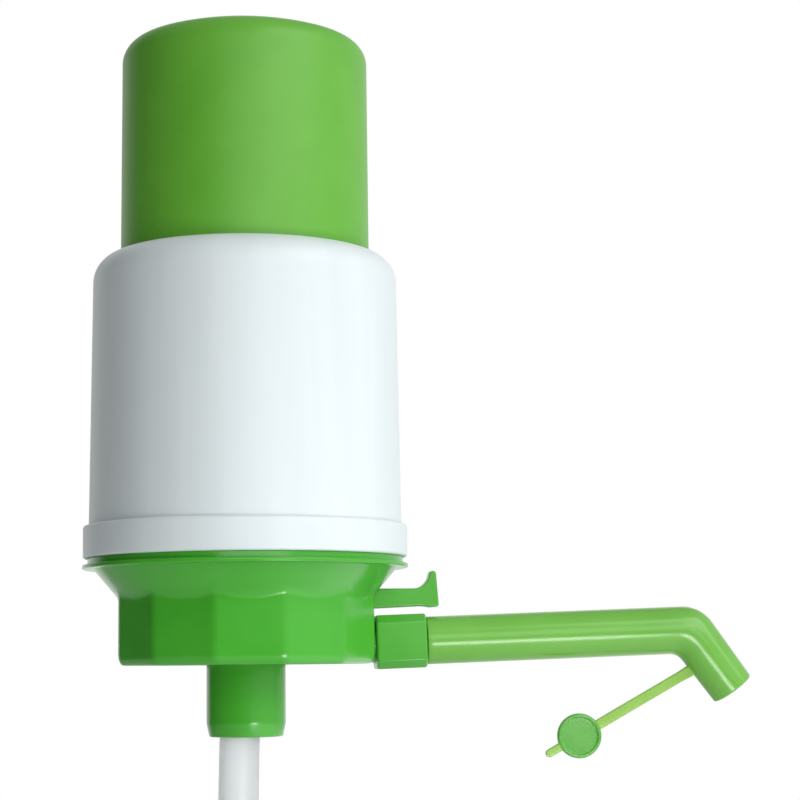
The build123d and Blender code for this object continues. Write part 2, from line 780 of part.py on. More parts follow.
with BuildPart() as bellows_plate:
    with BuildSketch(Plane.XY.offset(bellows_plate_z)):
        Circle(bellows_seat_r)
        Circle(rivet_r + press_gap, mode=Mode.SUBTRACT)
        with PolarLocations(valve_hole_ring_r, valve_hole_count):
            Circle(valve_hole_r, mode=Mode.SUBTRACT)
        with PolarLocations(cap_boss_ring_r, cap_boss_count):
            Circle(screw_r + slip_gap / 2, mode=Mode.SUBTRACT)
    extrude(amount=plate_h)
    with BuildSketch(Plane.XY.offset(bellows_plate_z - spring_guide_h)):
        Circle(spring_guide_r)
        Circle(spring_guide_r - spring_guide_wall, mode=Mode.SUBTRACT)
    extrude(amount=spring_guide_h)

bellows_plate.part.label = "bellows_plate"
export_step(bellows_plate.part, "parts/bellows_plate.step")

inlet_valve_disc = check_disc(bellows_plate_z)
inlet_valve_disc.part.label = "inlet_valve_disc"
export_step(inlet_valve_disc.part, "parts/inlet_valve_disc.step")

inlet_valve_rivet = check_rivet(bellows_plate_z, bellows_plate_top_z)
inlet_valve_rivet.part.label = "inlet_valve_rivet"
export_step(inlet_valve_rivet.part, "parts/inlet_valve_rivet.step")

# ---------------------------------------------------------------- push cap and its screws

with BuildPart() as push_cap:
    with BuildSketch(Plane.XZ):
        with BuildLine():
            domed_outline(0, cap_bead_z)
        make_face()
    revolve(axis=Axis.Z)
    with BuildSketch(Plane.XY.offset(cap_bead_z)):
        Circle(cap_bead_r)
    extrude(amount=cap_bead_h)
    with BuildSketch(Plane.XZ):
        with BuildLine():
            domed_outline(cap_wall, cap_bead_z)
        make_face()
    revolve(axis=Axis.Z, mode=Mode.SUBTRACT)
    # bosses from the dome down to the bellows plate
    boss_reach = cap_boss_ring_r + cap_boss_r
    boss_top_z = cap_dome_z + sqrt(cap_dome_r**2 - boss_reach**2) - cap_wall / 2
    with BuildSketch(Plane.XY.offset(bellows_plate_top_z)):
        with PolarLocations(cap_boss_ring_r, cap_boss_count):
            Circle(cap_boss_r)
            Circle(screw_r + press_gap, mode=Mode.SUBTRACT)
    extrude(amount=boss_top_z - bellows_plate_top_z)

push_cap.part.label = "push_cap"
export_step(push_cap.part, "parts/push_cap.step")

with BuildPart() as cap_screws:
    with BuildSketch(Plane.XY.offset(bellows_plate_z - screw_head_h)):
        with PolarLocations(cap_boss_ring_r, cap_boss_count):
            Circle(screw_head_r)
    extrude(amount=screw_head_h)
    with BuildSketch(Plane.XY.offset(bellows_plate_z)):
        with PolarLocations(cap_boss_ring_r, cap_boss_count):
            Circle(screw_r)
    extrude(amount=plate_h + cap_screw_depth)

cap_screws.part.label = "cap_screws"
export_step(cap_screws.part, "parts/cap_screws.step")

# ---------------------------------------------------------------- outer cover

with BuildPart() as outer_cover:
    with BuildSketch(Plane.XZ) as cover_profile:
        with BuildLine():
            cover_outline(0, cover_z, cover_z + foot_h)
        make_face()
        foot_corners = cover_profile.vertices().filter_by_position(Axis.X, foot_r - 0.01, foot_r + 0.01)
        fillet(foot_corners, radius=foot_edge_r)
    revolve(axis=Axis.Z)
    with BuildSketch(Plane.XZ):
        with BuildLine():
            cover_outline(cover_wall, cover_z, cover_z + foot_h - cover_wall)
        make_face()
    revolve(axis=Axis.Z, mode=Mode.SUBTRACT)
    with BuildSketch(Plane.XY.offset(shoulder_centre_z)):
        Circle(cap_opening_r)
    extrude(amount=cover_shoulder_r, mode=Mode.SUBTRACT)
    # pockets for the base's lugs
    for lug in range(lug_count):
        with BuildSketch(radial_plane(lug * 360 / lug_count - lug_side_deg)):
            with Locations((spigot_r, lug_z)):
                Rectangle(2 * lug_proud + 2 * slip_gap, lug_h + 2 * slip_gap)
        revolve(axis=Axis.Z, revolution_arc=lug_deg + 2 * lug_side_deg, mode=Mode.SUBTRACT)

outer_cover.part.label = "outer_cover"
export_step(outer_cover.part, "parts/outer_cover.step")

# ---------------------------------------------------------------- spout block, spout tube and seals

with BuildPart() as spout_block:
    with BuildSketch(spout_plane) as block_section:
        Rectangle(block_side, block_side)
        chamfer(block_section.vertices(), length=block_bevel)
    extrude(amount=block_len)
    end_faces = spout_block.faces().sort_by(Axis.X)
    chamfer(end_faces[0].edges() + end_faces[-1].edges(), length=block_end_bevel)
    with BuildSketch(spout_plane):
        Circle(neck_r)
    extrude(amount=-(block_start_x - collar_flat_r - slip_gap))
    with BuildSketch(spout_plane):
        Circle(stub_r)
    extrude(amount=-stub_len)
    with BuildSketch(spout_plane.offset(-stub_len)):
        Circle(water_bore_r)
    extrude(amount=stub_len + block_len, mode=Mode.SUBTRACT)
    with BuildSketch(spout_plane.offset(block_len - spout_spigot_len)):
        Circle(spout_spigot_r + running_gap)
    extrude(amount=spout_spigot_len, mode=Mode.SUBTRACT)
    with BuildSketch(spout_plane.offset(-inlet_groove_x - o_ring_r - press_gap / 2)):
        Circle(stub_r)
        Circle(stub_r - 2 * o_ring_r - press_gap, mode=Mode.SUBTRACT)
    extrude(amount=2 * o_ring_r + press_gap, mode=Mode.SUBTRACT)

spout_block.part.label = "spout_block"
export_step(spout_block.part, "parts/spout_block.step")

inlet_seal = o_ring(spout_plane.offset(-inlet_groove_x), stub_r)
inlet_seal.part.label = "inlet_seal"
export_step(inlet_seal.part, "parts/inlet_seal.step")

with BuildPart() as spout_tube:
    # straight run and elbow, swept, then the tapered outlet leg
    elbow_run = spout_bend_r * tan(radians(spout_turn_deg / 2))
    leg_start = elbow + leg_axis * elbow_run
    with BuildLine() as spout_line:
        Line(spout_shoulder, elbow - spout_axis * elbow_run)
        TangentArc(elbow - spout_axis * elbow_run, leg_start, tangent=spout_axis)
    shoulder_plane = Plane(origin=spout_shoulder, x_dir=(0, 1, 0), z_dir=spout_axis)
    leg_plane = Plane(origin=leg_start, x_dir=(0, 1, 0), z_dir=leg_axis)
    leg_len = outlet_leg - elbow_run
    with BuildSketch(shoulder_plane):
        Circle(spout_r)
    sweep()
    with BuildSketch(leg_plane):
        Circle(spout_r)
    extrude(amount=leg_len, taper=degrees(atan2(spout_r - outlet_r, leg_len)))
    fillet(spout_tube.edges().filter_by(GeomType.CIRCLE).sort_by_distance(outlet)[0], radius=outlet_edge_r)
    with BuildSketch(shoulder_plane):
        Circle(spout_spigot_r)
    extrude(amount=-spout_spigot_len)
    # one bore through spigot, run, elbow and leg
    with BuildSketch(shoulder_plane.offset(-spout_spigot_len)):
        Circle(spout_spigot_r - spout_wall)
    extrude(amount=spout_spigot_len, mode=Mode.SUBTRACT)
    with BuildSketch(shoulder_plane):
        Circle(spout_r - spout_wall)
    sweep(path=spout_line.line, mode=Mode.SUBTRACT)
    with BuildSketch(leg_plane):
        Circle(spout_r - spout_wall)
    extrude(amount=leg_len, mode=Mode.SUBTRACT)
    with BuildSketch(shoulder_plane.offset(-spout_groove_x - o_ring_r - press_gap / 2)):
        Circle(spout_spigot_r)
        Circle(spout_spigot_r - 2 * o_ring_r - press_gap, mode=Mode.SUBTRACT)
    extrude(amount=2 * o_ring_r + press_gap, mode=Mode.SUBTRACT)

spout_tube.part.label = "spout_tube"
export_step(spout_tube.part, "parts/spout_tube.step")

spout_seal = o_ring(shoulder_plane.offset(-spout_groove_x), spout_spigot_r)
spout_seal.part.label = "spout_seal"
export_step(spout_seal.part, "parts/spout_seal.step")

# ---------------------------------------------------------------- dust cap and strap

leg_side = Vector(leg_axis.Z, 0, -leg_axis.X)
strap_root = elbow + leg_axis * strap_along_leg + leg_side * (spout_r + soft_gap + strap_w / 2)
strap_dir = Vector(-cos(radians(strap_slope_deg)), 0, -sin(radians(strap_slope_deg)))
disc_centre = strap_root + strap_dir * strap_len
stem_start = disc_centre - strap_dir * (dust_disc_r + strap_stem_len)

with BuildPart() as dust_cap_strap:
    strap_mid = (strap_root + stem_start) / 2
    with BuildSketch(Plane.XZ):
        with Locations((strap_root.X, strap_root.Z)):
            Circle(strap_w / 2)
        with Locations((strap_mid.X, strap_mid.Z)):
            Rectangle((stem_start - strap_root).length, strap_w, rotation=strap_slope_deg)
    extrude(amount=strap_h / 2, both=True)

dust_cap_strap.part.label = "dust_cap_strap"
export_step(dust_cap_strap.part, "parts/dust_cap_strap.step")

with BuildPart() as dust_cap:
    with BuildSketch(Plane.XZ):
        with Locations((disc_centre.X, disc_centre.Z)):
            Circle(dust_disc_r)
    extrude(amount=dust_disc_h / 2, both=True)
    fillet(dust_cap.edges(), radius=dust_disc_edge_r)
    stem_mid = (stem_start + disc_centre) / 2
    tab_end = disc_centre + strap_dir * (dust_disc_r + tab_len - tab_w / 2)
    tab_mid = (tab_end + disc_centre) / 2
    with BuildSketch(Plane.XZ):
        with Locations((stem_mid.X, stem_mid.Z)):
            Rectangle((stem_start - disc_centre).length, strap_w, rotation=strap_slope_deg)
        with Locations((tab_mid.X, tab_mid.Z)):
            Rectangle((tab_end - disc_centre).length, tab_w, rotation=strap_slope_deg)
        with Locations((tab_end.X, tab_end.Z)):
            Circle(tab_w / 2)
    extrude(amount=strap_h / 2, both=True)
    # plug that closes the outlet, on the side away from the disc's plain face
    with BuildSketch(Plane.XZ.offset(-dust_disc_h / 2)):
        with Locations((disc_centre.X, disc_centre.Z)):
            Circle(spout_r - spout_wall - running_gap)
            Circle(spout_r - spout_wall - running_gap - dust_plug_wall, mode=Mode.SUBTRACT)
    extrude(amount=-dust_plug_len)

dust_cap.part.label = "dust_cap"
export_step(dust_cap.part, "parts/dust_cap.step")

# ---------------------------------------------------------------- release lever and valve

with BuildPart() as release_lever:
    fork_x = vent_x - lever_fork_reach
    tip_left = (lever_tip_x - lever_lean - lever_tip_w, lever_tip_z - lever_tip_w / 3)
    tip_right = (lever_tip_x - lever_lean, lever_tip_z - lever_tip_w / 2)
    thumb_start = (lever_tip_x - lever_thumb_len, lever_top_z)
    with BuildSketch(Plane.XZ):
        with BuildLine():
            Polyline(
                tip_right,
                (lever_tip_x, lever_bottom_z + lever_rise),
                (collar_flat_r - fuse, lever_bottom_z),
                (collar_bore_r, floor_top_z + lever_side_gap),
                (lever_pivot_x - lever_hub_r, floor_top_z + 2 * lever_side_gap),
                (lever_pivot_x - 2 * lever_hub_r, lever_arm_bottom_z),
                (fork_x, lever_arm_bottom_z),
                (fork_x, lever_arm_top_z),
                (lever_pivot_x, lever_arm_top_z),
                (collar_bore_r, lever_top_z),
                thumb_start,
            )
            TangentArc(thumb_start, tip_left, tangent=(1, 0))
            ThreePointArc(tip_left, ((tip_left[0] + tip_right[0]) / 2, lever_tip_z), tip_right)
        make_face()
        with Locations((lever_pivot_x, lever_pivot_z)):
            Circle(lever_hub_r)
            Circle(lever_pin_r + running_gap, mode=Mode.SUBTRACT)
    extrude(amount=lever_w / 2, both=True)
    with BuildSketch(Plane.XY.offset(lever_arm_bottom_z - fuse)):
        with Locations(((fork_x + vent_x) / 2, 0)):
            Rectangle(vent_x - fork_x, 2 * (vent_stem_r + press_gap))
        with Locations((vent_x, 0)):
            Circle(vent_stem_r + press_gap)
    extrude(amount=lever_arm_top_z - lever_arm_bottom_z + 2 * fuse, mode=Mode.SUBTRACT)

release_lever.part.label = "release_lever"
export_step(release_lever.part, "parts/release_lever.step")

with BuildPart() as lever_pin:
    with BuildSketch(Plane.XZ.offset(-lever_pin_len / 2)):
        with Locations((lever_pivot_x, lever_pivot_z)):
            Circle(lever_pin_r)
    extrude(amount=lever_pin_len)

lever_pin.part.label = "lever_pin"
export_step(lever_pin.part, "parts/lever_pin.step")

with BuildPart() as release_valve_stem:
    with BuildSketch(Plane.XY.offset(seal_h)):
        with Locations((vent_x, 0)):
            Circle(vent_stem_r)
    extrude(amount=vent_head_z - seal_h)
    with BuildSketch(Plane.XY.offset(vent_disc_z)):
        with Locations((vent_x, 0)):
            Circle(vent_boss_r)
    extrude(amount=vent_disc_h)
    with BuildSketch(Plane.XY.offset(vent_head_z)):
        with Locations((vent_x, 0)):
            Circle(vent_head_r)
    extrude(amount=vent_head_h)

release_valve_stem.part.label = "release_valve_stem"
export_step(release_valve_stem.part, "parts/release_valve_stem.step")

with BuildPart() as release_valve_seal:
    with BuildSketch(Plane.XY.offset(vent_boss_top_z)):
        with Locations((vent_x, 0)):
            Circle(vent_boss_r)
            Circle(vent_stem_r + press_gap, mode=Mode.SUBTRACT)
    extrude(amount=vent_seal_h)

release_valve_seal.part.label = "release_valve_seal"
export_step(release_valve_seal.part, "parts/release_valve_seal.step")

with BuildPart() as release_valve_spring:
    with BuildLine() as vent_line:
        coil_path(
            Vector(vent_x, 0, 0), vent_spring_r, vent_spring_z, vent_spring_top_z, vent_spring_turns,
            vent_spring_wire,
        )
    with BuildSketch(Plane(vent_line.line @ 0, z_dir=(0, 0, 1))):
        Circle(vent_spring_wire / 2)
    sweep()
vent_spring_gap = self_gap(vent_line.line, vent_spring_turns, vent_spring_wire)
print("release valve spring, least gap to itself:", vent_spring_gap)

release_valve_spring.part.label = "release_valve_spring"
export_step(release_valve_spring.part, "parts/release_valve_spring.step")

# ---------------------------------------------------------------- tube spigot and dip tube

with BuildPart() as tube_spigot:
    flange_z = seal_h - spigot_flange_h
    with BuildSketch(Plane.XY.offset(dip_tube_top_z - spigot_reach)):
        Circle(spigot_bore_r + spigot_tube_wall)
    extrude(amount=flange_z - dip_tube_top_z + spigot_reach)
    with BuildSketch(Plane.XY.offset(flange_z)):
        Circle(spigot_flange_r)
    extrude(amount=spigot_flange_h)
    with BuildSketch(Plane.XY.offset(seal_h)):
        Circle(hub_bore_r - press_gap)
    extrude(amount=duct_floor)
    with BuildSketch(Plane.XY.offset(dip_tube_top_z - spigot_reach)):
        Circle(spigot_bore_r)
    extrude(amount=spigot_reach + seal_h + duct_floor, mode=Mode.SUBTRACT)

tube_spigot.part.label = "tube_spigot"
export_step(tube_spigot.part, "parts/tube_spigot.step")

with BuildPart() as dip_tube_upper:
    free_end = dip_mouth + dip_axis * (dip_tube_len - (dip_entry - dip_mouth).length)
    with BuildLine() as dip_line:
        FilletPolyline(dip_entry, dip_knee, dip_mouth, free_end, radius=dip_tube_bend_r)
    with BuildSketch(Plane(dip_entry, z_dir=(0, 0, -1))):
        Circle(dip_tube_r)
        Circle(dip_tube_bore_r, mode=Mode.SUBTRACT)
    sweep()

dip_tube_upper.part.label = "dip_tube_upper"
export_step(dip_tube_upper.part, "parts/dip_tube_upper.step")

joint_step = dip_axis * (coupler_stop_h / 2)
upper_joint = free_end + joint_step
middle_start = upper_joint + joint_step
lower_joint = middle_start + dip_axis * dip_tube_len + joint_step
lower_start = lower_joint + joint_step

tube_coupler_upper = coupler(Plane(upper_joint, x_dir=(0, 1, 0), z_dir=dip_axis))
tube_coupler_upper.part.label = "tube_coupler_upper"
export_step(tube_coupler_upper.part, "parts/tube_coupler_upper.step")

dip_tube_middle = tube_length(Plane(middle_start, x_dir=(0, 1, 0), z_dir=dip_axis), dip_tube_len)
dip_tube_middle.part.label = "dip_tube_middle"
export_step(dip_tube_middle.part, "parts/dip_tube_middle.step")

tube_coupler_lower = coupler(Plane(lower_joint, x_dir=(0, 1, 0), z_dir=dip_axis))
tube_coupler_lower.part.label = "tube_coupler_lower"
export_step(tube_coupler_lower.part, "parts/tube_coupler_lower.step")

with BuildPart() as dip_tube_lower:
    with BuildSketch(Plane(lower_start, x_dir=(0, 1, 0), z_dir=dip_axis)):
        Circle(dip_tube_r)
        Circle(dip_tube_bore_r, mode=Mode.SUBTRACT)
    extrude(amount=dip_tube_len)
    # notches that keep the end open on the jug's bottom
    foot_plane = Plane(lower_start + dip_axis * dip_tube_len, x_dir=(0, 1, 0), z_dir=-dip_axis)
    with BuildSketch(foot_plane):
        Rectangle(3 * dip_tube_r, foot_notch_w)
        Rectangle(foot_notch_w, 3 * dip_tube_r)
    extrude(amount=foot_notch_h, mode=Mode.SUBTRACT)

dip_tube_lower.part.label = "dip_tube_lower"
export_step(dip_tube_lower.part, "parts/dip_tube_lower.step")
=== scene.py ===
"""Hand press pump for a large water jug, dressed for a studio picture.

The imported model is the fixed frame. Each sub-assembly is a class that holds its sizes in
millimetres, in the frame's own axes: +Z up the pump, +X along the spout, the camera at -Y.
"""

import json
import logging
from dataclasses import dataclass, replace
from enum import Enum
from math import atan2, cos, degrees, pi, radians, sin, sqrt

import bpy
import numpy as np
from mathutils import Matrix, Vector
from numpy.typing import ArrayLike


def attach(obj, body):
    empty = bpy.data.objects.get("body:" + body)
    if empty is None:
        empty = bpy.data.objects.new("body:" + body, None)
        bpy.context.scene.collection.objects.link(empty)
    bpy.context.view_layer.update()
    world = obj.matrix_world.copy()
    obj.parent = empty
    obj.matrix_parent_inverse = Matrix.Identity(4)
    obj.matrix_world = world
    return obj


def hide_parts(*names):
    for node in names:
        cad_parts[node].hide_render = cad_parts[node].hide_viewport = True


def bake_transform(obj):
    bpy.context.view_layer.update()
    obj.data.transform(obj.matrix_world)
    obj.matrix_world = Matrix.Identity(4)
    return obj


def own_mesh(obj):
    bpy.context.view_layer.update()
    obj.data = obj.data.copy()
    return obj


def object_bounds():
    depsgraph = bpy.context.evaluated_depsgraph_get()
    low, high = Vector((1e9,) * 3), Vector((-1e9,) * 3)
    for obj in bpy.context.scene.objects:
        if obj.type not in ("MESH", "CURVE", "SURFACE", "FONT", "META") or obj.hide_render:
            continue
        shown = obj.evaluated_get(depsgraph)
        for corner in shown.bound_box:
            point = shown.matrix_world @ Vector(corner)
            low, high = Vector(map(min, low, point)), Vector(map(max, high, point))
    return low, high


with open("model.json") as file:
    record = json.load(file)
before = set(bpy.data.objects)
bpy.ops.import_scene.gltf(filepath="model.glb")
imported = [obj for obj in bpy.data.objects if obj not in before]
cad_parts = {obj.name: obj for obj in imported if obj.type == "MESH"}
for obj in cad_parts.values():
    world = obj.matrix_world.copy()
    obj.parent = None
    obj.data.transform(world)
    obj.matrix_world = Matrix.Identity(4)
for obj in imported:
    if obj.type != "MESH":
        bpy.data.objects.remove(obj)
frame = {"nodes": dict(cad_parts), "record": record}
CAD_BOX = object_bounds()

MM = 0.001
LOG = logging.getLogger("jug_pump")
Array = np.ndarray
Point = tuple[float, float, float]
# Into the picture, square to the upright plane that the spout and the dip tube lie in.
SIDE = np.array([0.0, 1.0, 0.0])
# Edges sharper than this stay sharp in the shading.
SHARP_DEG = 40.0
# A flat margin inside a slab's rounded rim, which keeps its face's shading flat.
MARGIN = 0.08
# Keeps a length of zero from being divided by, and lets a column on an edge count as inside it.
TINY, SLACK = 1e-12, 1e-6
# Where the two tones of a finish stand on its noise.
TONE_STOPS = (0.35, 0.65)


class Body(Enum):
    """The pump's moving bodies, by their names in the frame."""

    BASE = "base"
    CAP = "cap"
    INLET_VALVE = "inlet_valve"
    OUTLET_VALVE = "outlet_valve"
    LEVER = "lever"
    SPOUT = "spout"
    DUST_CAP = "cap_on_strap"


class Grain(Enum):
    """How a surface was made, as the stretch of its pattern along X, Y and Z."""

    MOULDED = (1.0, 1.0, 1.0)
    DRAWN_UPRIGHT = (1.0, 1.0, 0.08)
    EXTRUDED = (1.0, 1.0, 0.05)


# ---------------------------------------------------------------- finishes


def linear(colour: str) -> tuple[float, float, float, float]:
    """Turn an sRGB hex colour into the linear RGBA that the shaders use.

    Args:
        colour: Six hex digits.

    Returns:
        Red, green, blue and an alpha of 1. Each channel follows the sRGB curve: a straight foot
        below 0.04045, and above it ((c + 0.055) / 1.055) to the power 2.4.
    """
    channels = np.array([int(colour[i:i + 2], 16) for i in (0, 2, 4)]) / 255
    foot, curve = channels / 12.92, ((channels + 0.055) / 1.055) ** 2.4
    return (*np.where(channels <= 0.04045, foot, curve).tolist(), 1.0)


def add_node(tree: bpy.types.NodeTree, kind: str, settings: dict, **links) -> bpy.types.Node:
    """Add one node with its settings and links.

    Args:
        tree: The node tree that the node joins.
        kind: The node's Blender type name.
        settings: Attribute names, or socket names or numbers, with their values.
        **links: Input sockets by name, with _ for a space, or by number as in_0, each with the
            output socket that feeds it, or with a node for that node's first output.

    Returns:
        The new node.
    """
    node = tree.nodes.new(kind)
    for key, value in settings.items():
        if isinstance(key, str) and hasattr(node, key):
            setattr(node, key, value)
        else:
            node.inputs[key].default_value = value
    for key, source in links.items():
        socket = int(key[3:]) if key.startswith("in_") else key.replace("_", " ")
        feed = source.outputs[0] if isinstance(source, bpy.types.Node) else source
        tree.links.new(feed, node.inputs[socket])
    return node


@dataclass(frozen=True)
class Finish:
    """One real material and how its surface was made.

    The colour drifts between two close tones in patches of tone_mm, the roughness drifts with it,
    and a fine grain of grain_mm by depth_mm stands on the surface as the mould or die left it.
    """

    name: str
    slot: str
    colour: str
    tone: str
    roughness: float
    ior: float
    grain_mm: float
    depth_mm: float
    tone_mm: float = 14.0
    polish: float = 0.08
    metallic: float = 0.0
    transmission: float = 0.0
    grain: Grain = Grain.MOULDED

    def material(self) -> bpy.types.Material:
        """Build the material once, and return it.

        Returns:
            The material, made of noise on object coordinates.
        """
        made = bpy.data.materials.get(self.name)
        if made is not None:
            return made
        made = bpy.data.materials.new(self.name)
        made.use_nodes = True
        tree = made.node_tree
        tree.nodes.clear()
        place = add_node(tree, "ShaderNodeTexCoord", {})
        stretched = add_node(
            tree, "ShaderNodeMapping", {"Scale": self.grain.value}, Vector=place.outputs["Object"]
        )
        drift, fine = (
            add_node(
                tree, "ShaderNodeTexNoise",
                {"Scale": 1 / (size_mm * MM), "Detail": detail, "Roughness": mix}, Vector=stretched,
            )
            for size_mm, detail, mix in ((self.tone_mm, 3.0, 0.5), (self.grain_mm, 2.0, 0.6))
        )
        tones = add_node(tree, "ShaderNodeValToRGB", {}, Fac=drift)
        for stop, at, colour in zip(tones.color_ramp.elements, TONE_STOPS, (self.tone, self.colour)):
            stop.position, stop.color = at, linear(colour)
        gloss = add_node(
            tree, "ShaderNodeMapRange",
            {"To Min": self.roughness - self.polish / 2, "To Max": self.roughness + self.polish / 2},
            Value=drift,
        )
        relief = add_node(tree, "ShaderNodeBump", {"Distance": self.depth_mm * MM}, Height=fine)
        shader = add_node(
            tree, "ShaderNodeBsdfPrincipled",
            {"Metallic": self.metallic, "IOR": self.ior, "Transmission Weight": self.transmission},
            Base_Color=tones, Roughness=gloss, Normal=relief,
        )
        add_node(tree, "ShaderNodeOutputMaterial", {}, Surface=shader)
        return made


# Green polypropylene of the cap, injection moulded in a blasted mould: warm grass green, satin.
CAP_GREEN = Finish("cap_polypropylene", "green_plastic", "66B336", "61AE31", 0.42, 1.49, 0.6, 0.003)
# Green polypropylene of the base, from a polished mould: deeper and cooler, with crisp highlights.
BASE_GREEN = Finish(
    "base_polypropylene", "green_plastic", "49AF31", "44AA2D", 0.19, 1.49, 0.6, 0.0008, polish=0.05
)
# Green polypropylene of the block and lever: the base's gloss, a little warmer.
BLOCK_GREEN = Finish("block_polypropylene", "green_plastic", "54AE3B", "4EA936", 0.24, 1.49, 0.6, 0.001)
# Green polypropylene of the spout, thin walled and polished: the lightest green and the glossiest.
SPOUT_GREEN = Finish(
    "spout_polypropylene", "green_plastic", "74BA4A", "6FB545", 0.2, 1.49, 0.6, 0.0005, polish=0.04
)
# White ABS, injection moulded: cool white, softer gloss, faint upright drag marks from the mould.
WHITE = Finish(
    "white_abs", "white_plastic", "E2EBED", "DDE7E9", 0.40, 1.53, 0.6, 0.003, tone_mm=9.0, polish=0.12,
    grain=Grain.DRAWN_UPRIGHT,
)
# Low density polyethylene, moulded thick at the disc: waxy and a little paler than the block.
DISC_GREEN = Finish(
    "disc_polyethylene", "strap_plastic", "65B34A", "60AE45", 0.26, 1.51, 0.5, 0.0006, tone_mm=6.0
)
# The same polyethylene where it is thin, at the strap and tab: light comes through and pales it.
STRAP_GREEN = Finish(
    "strap_polyethylene", "strap_plastic", "94C653", "8EC14D", 0.32, 1.51, 0.5, 0.0006, tone_mm=6.0
)
# Milky polypropylene, extruded: a cloudy tube with fine lines along it.
MILKY = Finish(
    "milky_polypropylene", "tube_plastic", "FAFCFC", "F5F9F9", 0.35, 1.49, 1.2, 0.003, tone_mm=5.0,
    transmission=0.88, grain=Grain.EXTRUDED,
)
# Unpigmented polypropylene, moulded: waxy off-white for the pieces inside.
NATURAL = Finish("natural_polypropylene", "inner_plastic", "E3E4DC", "DADCD3", 0.42, 1.49, 0.5, 0.006)
# Blown polyethylene: the bellows' soft, slightly grey white skin.
BLOWN = Finish(
    "blown_polyethylene", "bellows_plastic", "D5D9D4", "CBD0CB", 0.5, 1.51, 0.9, 0.02, tone_mm=10.0
)
# Silicone rubber, pressed: matt and warm white.
SILICONE = Finish("silicone_rubber", "seal_rubber", "E8E6DE", "DEDCD2", 0.6, 1.41, 0.4, 0.008)
# Stainless steel, drawn or cold formed: grey metal with fine lines.
STEEL = Finish(
    "stainless_steel", "stainless_steel", "B9B9B6", "AFAFAD", 0.24, 1.5, 0.3, 0.002, metallic=1.0,
    grain=Grain.DRAWN_UPRIGHT,
)
FINISH_OF_SLOT = {
    finish.slot: finish
    for finish in (BASE_GREEN, WHITE, DISC_GREEN, MILKY, NATURAL, BLOWN, SILICONE, STEEL)
}


# ---------------------------------------------------------------- shapes worked out with numpy


def unit(vectors: Array) -> Array:
    """Vectors divided by their lengths."""
    return vectors / np.linalg.norm(vectors, axis=-1, keepdims=True)


def box(x: tuple[float, float], y: tuple[float, float]) -> list[tuple[float, float]]:
    """The corners of a rectangle between two x and two y, anticlockwise."""
    return [(x[0], y[0]), (x[1], y[0]), (x[1], y[1]), (x[0], y[1])]


def arc(centre: tuple[float, float], radius: float, start: float, end: float, steps: int = 12) -> Array:
    """Work out points on an arc: the centre plus radius times (cos, sin) of even angles.

    Args:
        centre: The arc's centre.
        radius: The arc's radius.
        start: First angle, in degrees.
        end: Last angle, in degrees.
        steps: How many points.

    Returns:
        The points, one row each.
    """
    turn = np.radians(np.linspace(start, end, steps))
    return np.array(centre) + radius * np.stack([np.cos(turn), np.sin(turn)], -1)


def rounded(corners: ArrayLike, radius: ArrayLike, closed: bool = True, steps: int = 6) -> Array:
    """Turn each corner of an outline into an arc that touches both of its sides.

    The arc's centre stands on the corner's bisector, radius / sin(half the corner's angle) from
    the corner, and the arc spans what is left of half a turn.

    Args:
        corners: The outline's corners, one row each.
        radius: One radius, or one for each corner.
        closed: False for an open line, whose two ends stay as they are.
        steps: Points on each arc.

    Returns:
        The rounded outline's points.
    """
    points = np.asarray(corners, float)
    radii = np.broadcast_to(np.asarray(radius, float), len(points))
    back = unit(np.roll(points, 1, 0) - points)
    ahead = unit(np.roll(points, -1, 0) - points)
    half = np.arccos(np.clip((back * ahead).sum(1), -1, 1)) / 2
    inward, across = unit(back + ahead + TINY), unit(ahead - back + TINY)
    centres = points + inward * (radii / np.sin(half))[:, None]
    swing = ((pi / 2 - half)[:, None] * np.linspace(-1, 1, steps))[..., None]
    arcs = centres[:, None] + radii[:, None, None] * (
        across[:, None] * np.sin(swing) - inward[:, None] * np.cos(swing)
    )
    if closed:
        return arcs.reshape(-1, 2)
    return np.vstack([points[:1], arcs[1:-1].reshape(-1, 2), points[-1:]])


def circle(columns: int) -> Array:
    """Points of a unit circle, without the repeated last one."""
    turn = np.arange(columns) * 2 * pi / columns
    return np.stack([np.cos(turn), np.sin(turn)], -1)


def carried(section: Array, centres: Array, u: Array, v: Array) -> Array:
    """Carry a flat section along a path: every point is centre + x * u + y * v.

    Args:
        section: (m, 2) for one section, or (n, m, 2) for one at each step of the path.
        centres: (n, 3), the path.
        u: (n, 3) or (3,), the section's first direction.
        v: (n, 3) or (3,), its second. The path advances along u x v, so faces point outwards.

    Returns:
        The (n, m, 3) grid of points.
    """
    shape = (len(centres), 3)
    first, second = np.broadcast_to(u, shape), np.broadcast_to(v, shape)
    flat = np.broadcast_to(section, (len(centres), *np.shape(section)[-2:]))
    return centres[:, None] + flat[..., :1] * first[:, None] + flat[..., 1:] * second[:, None]


def under(course: Array) -> Array:
    """The direction square to a course in the upright plane, on its underside: Y x course."""
    return np.cross(SIDE, course)


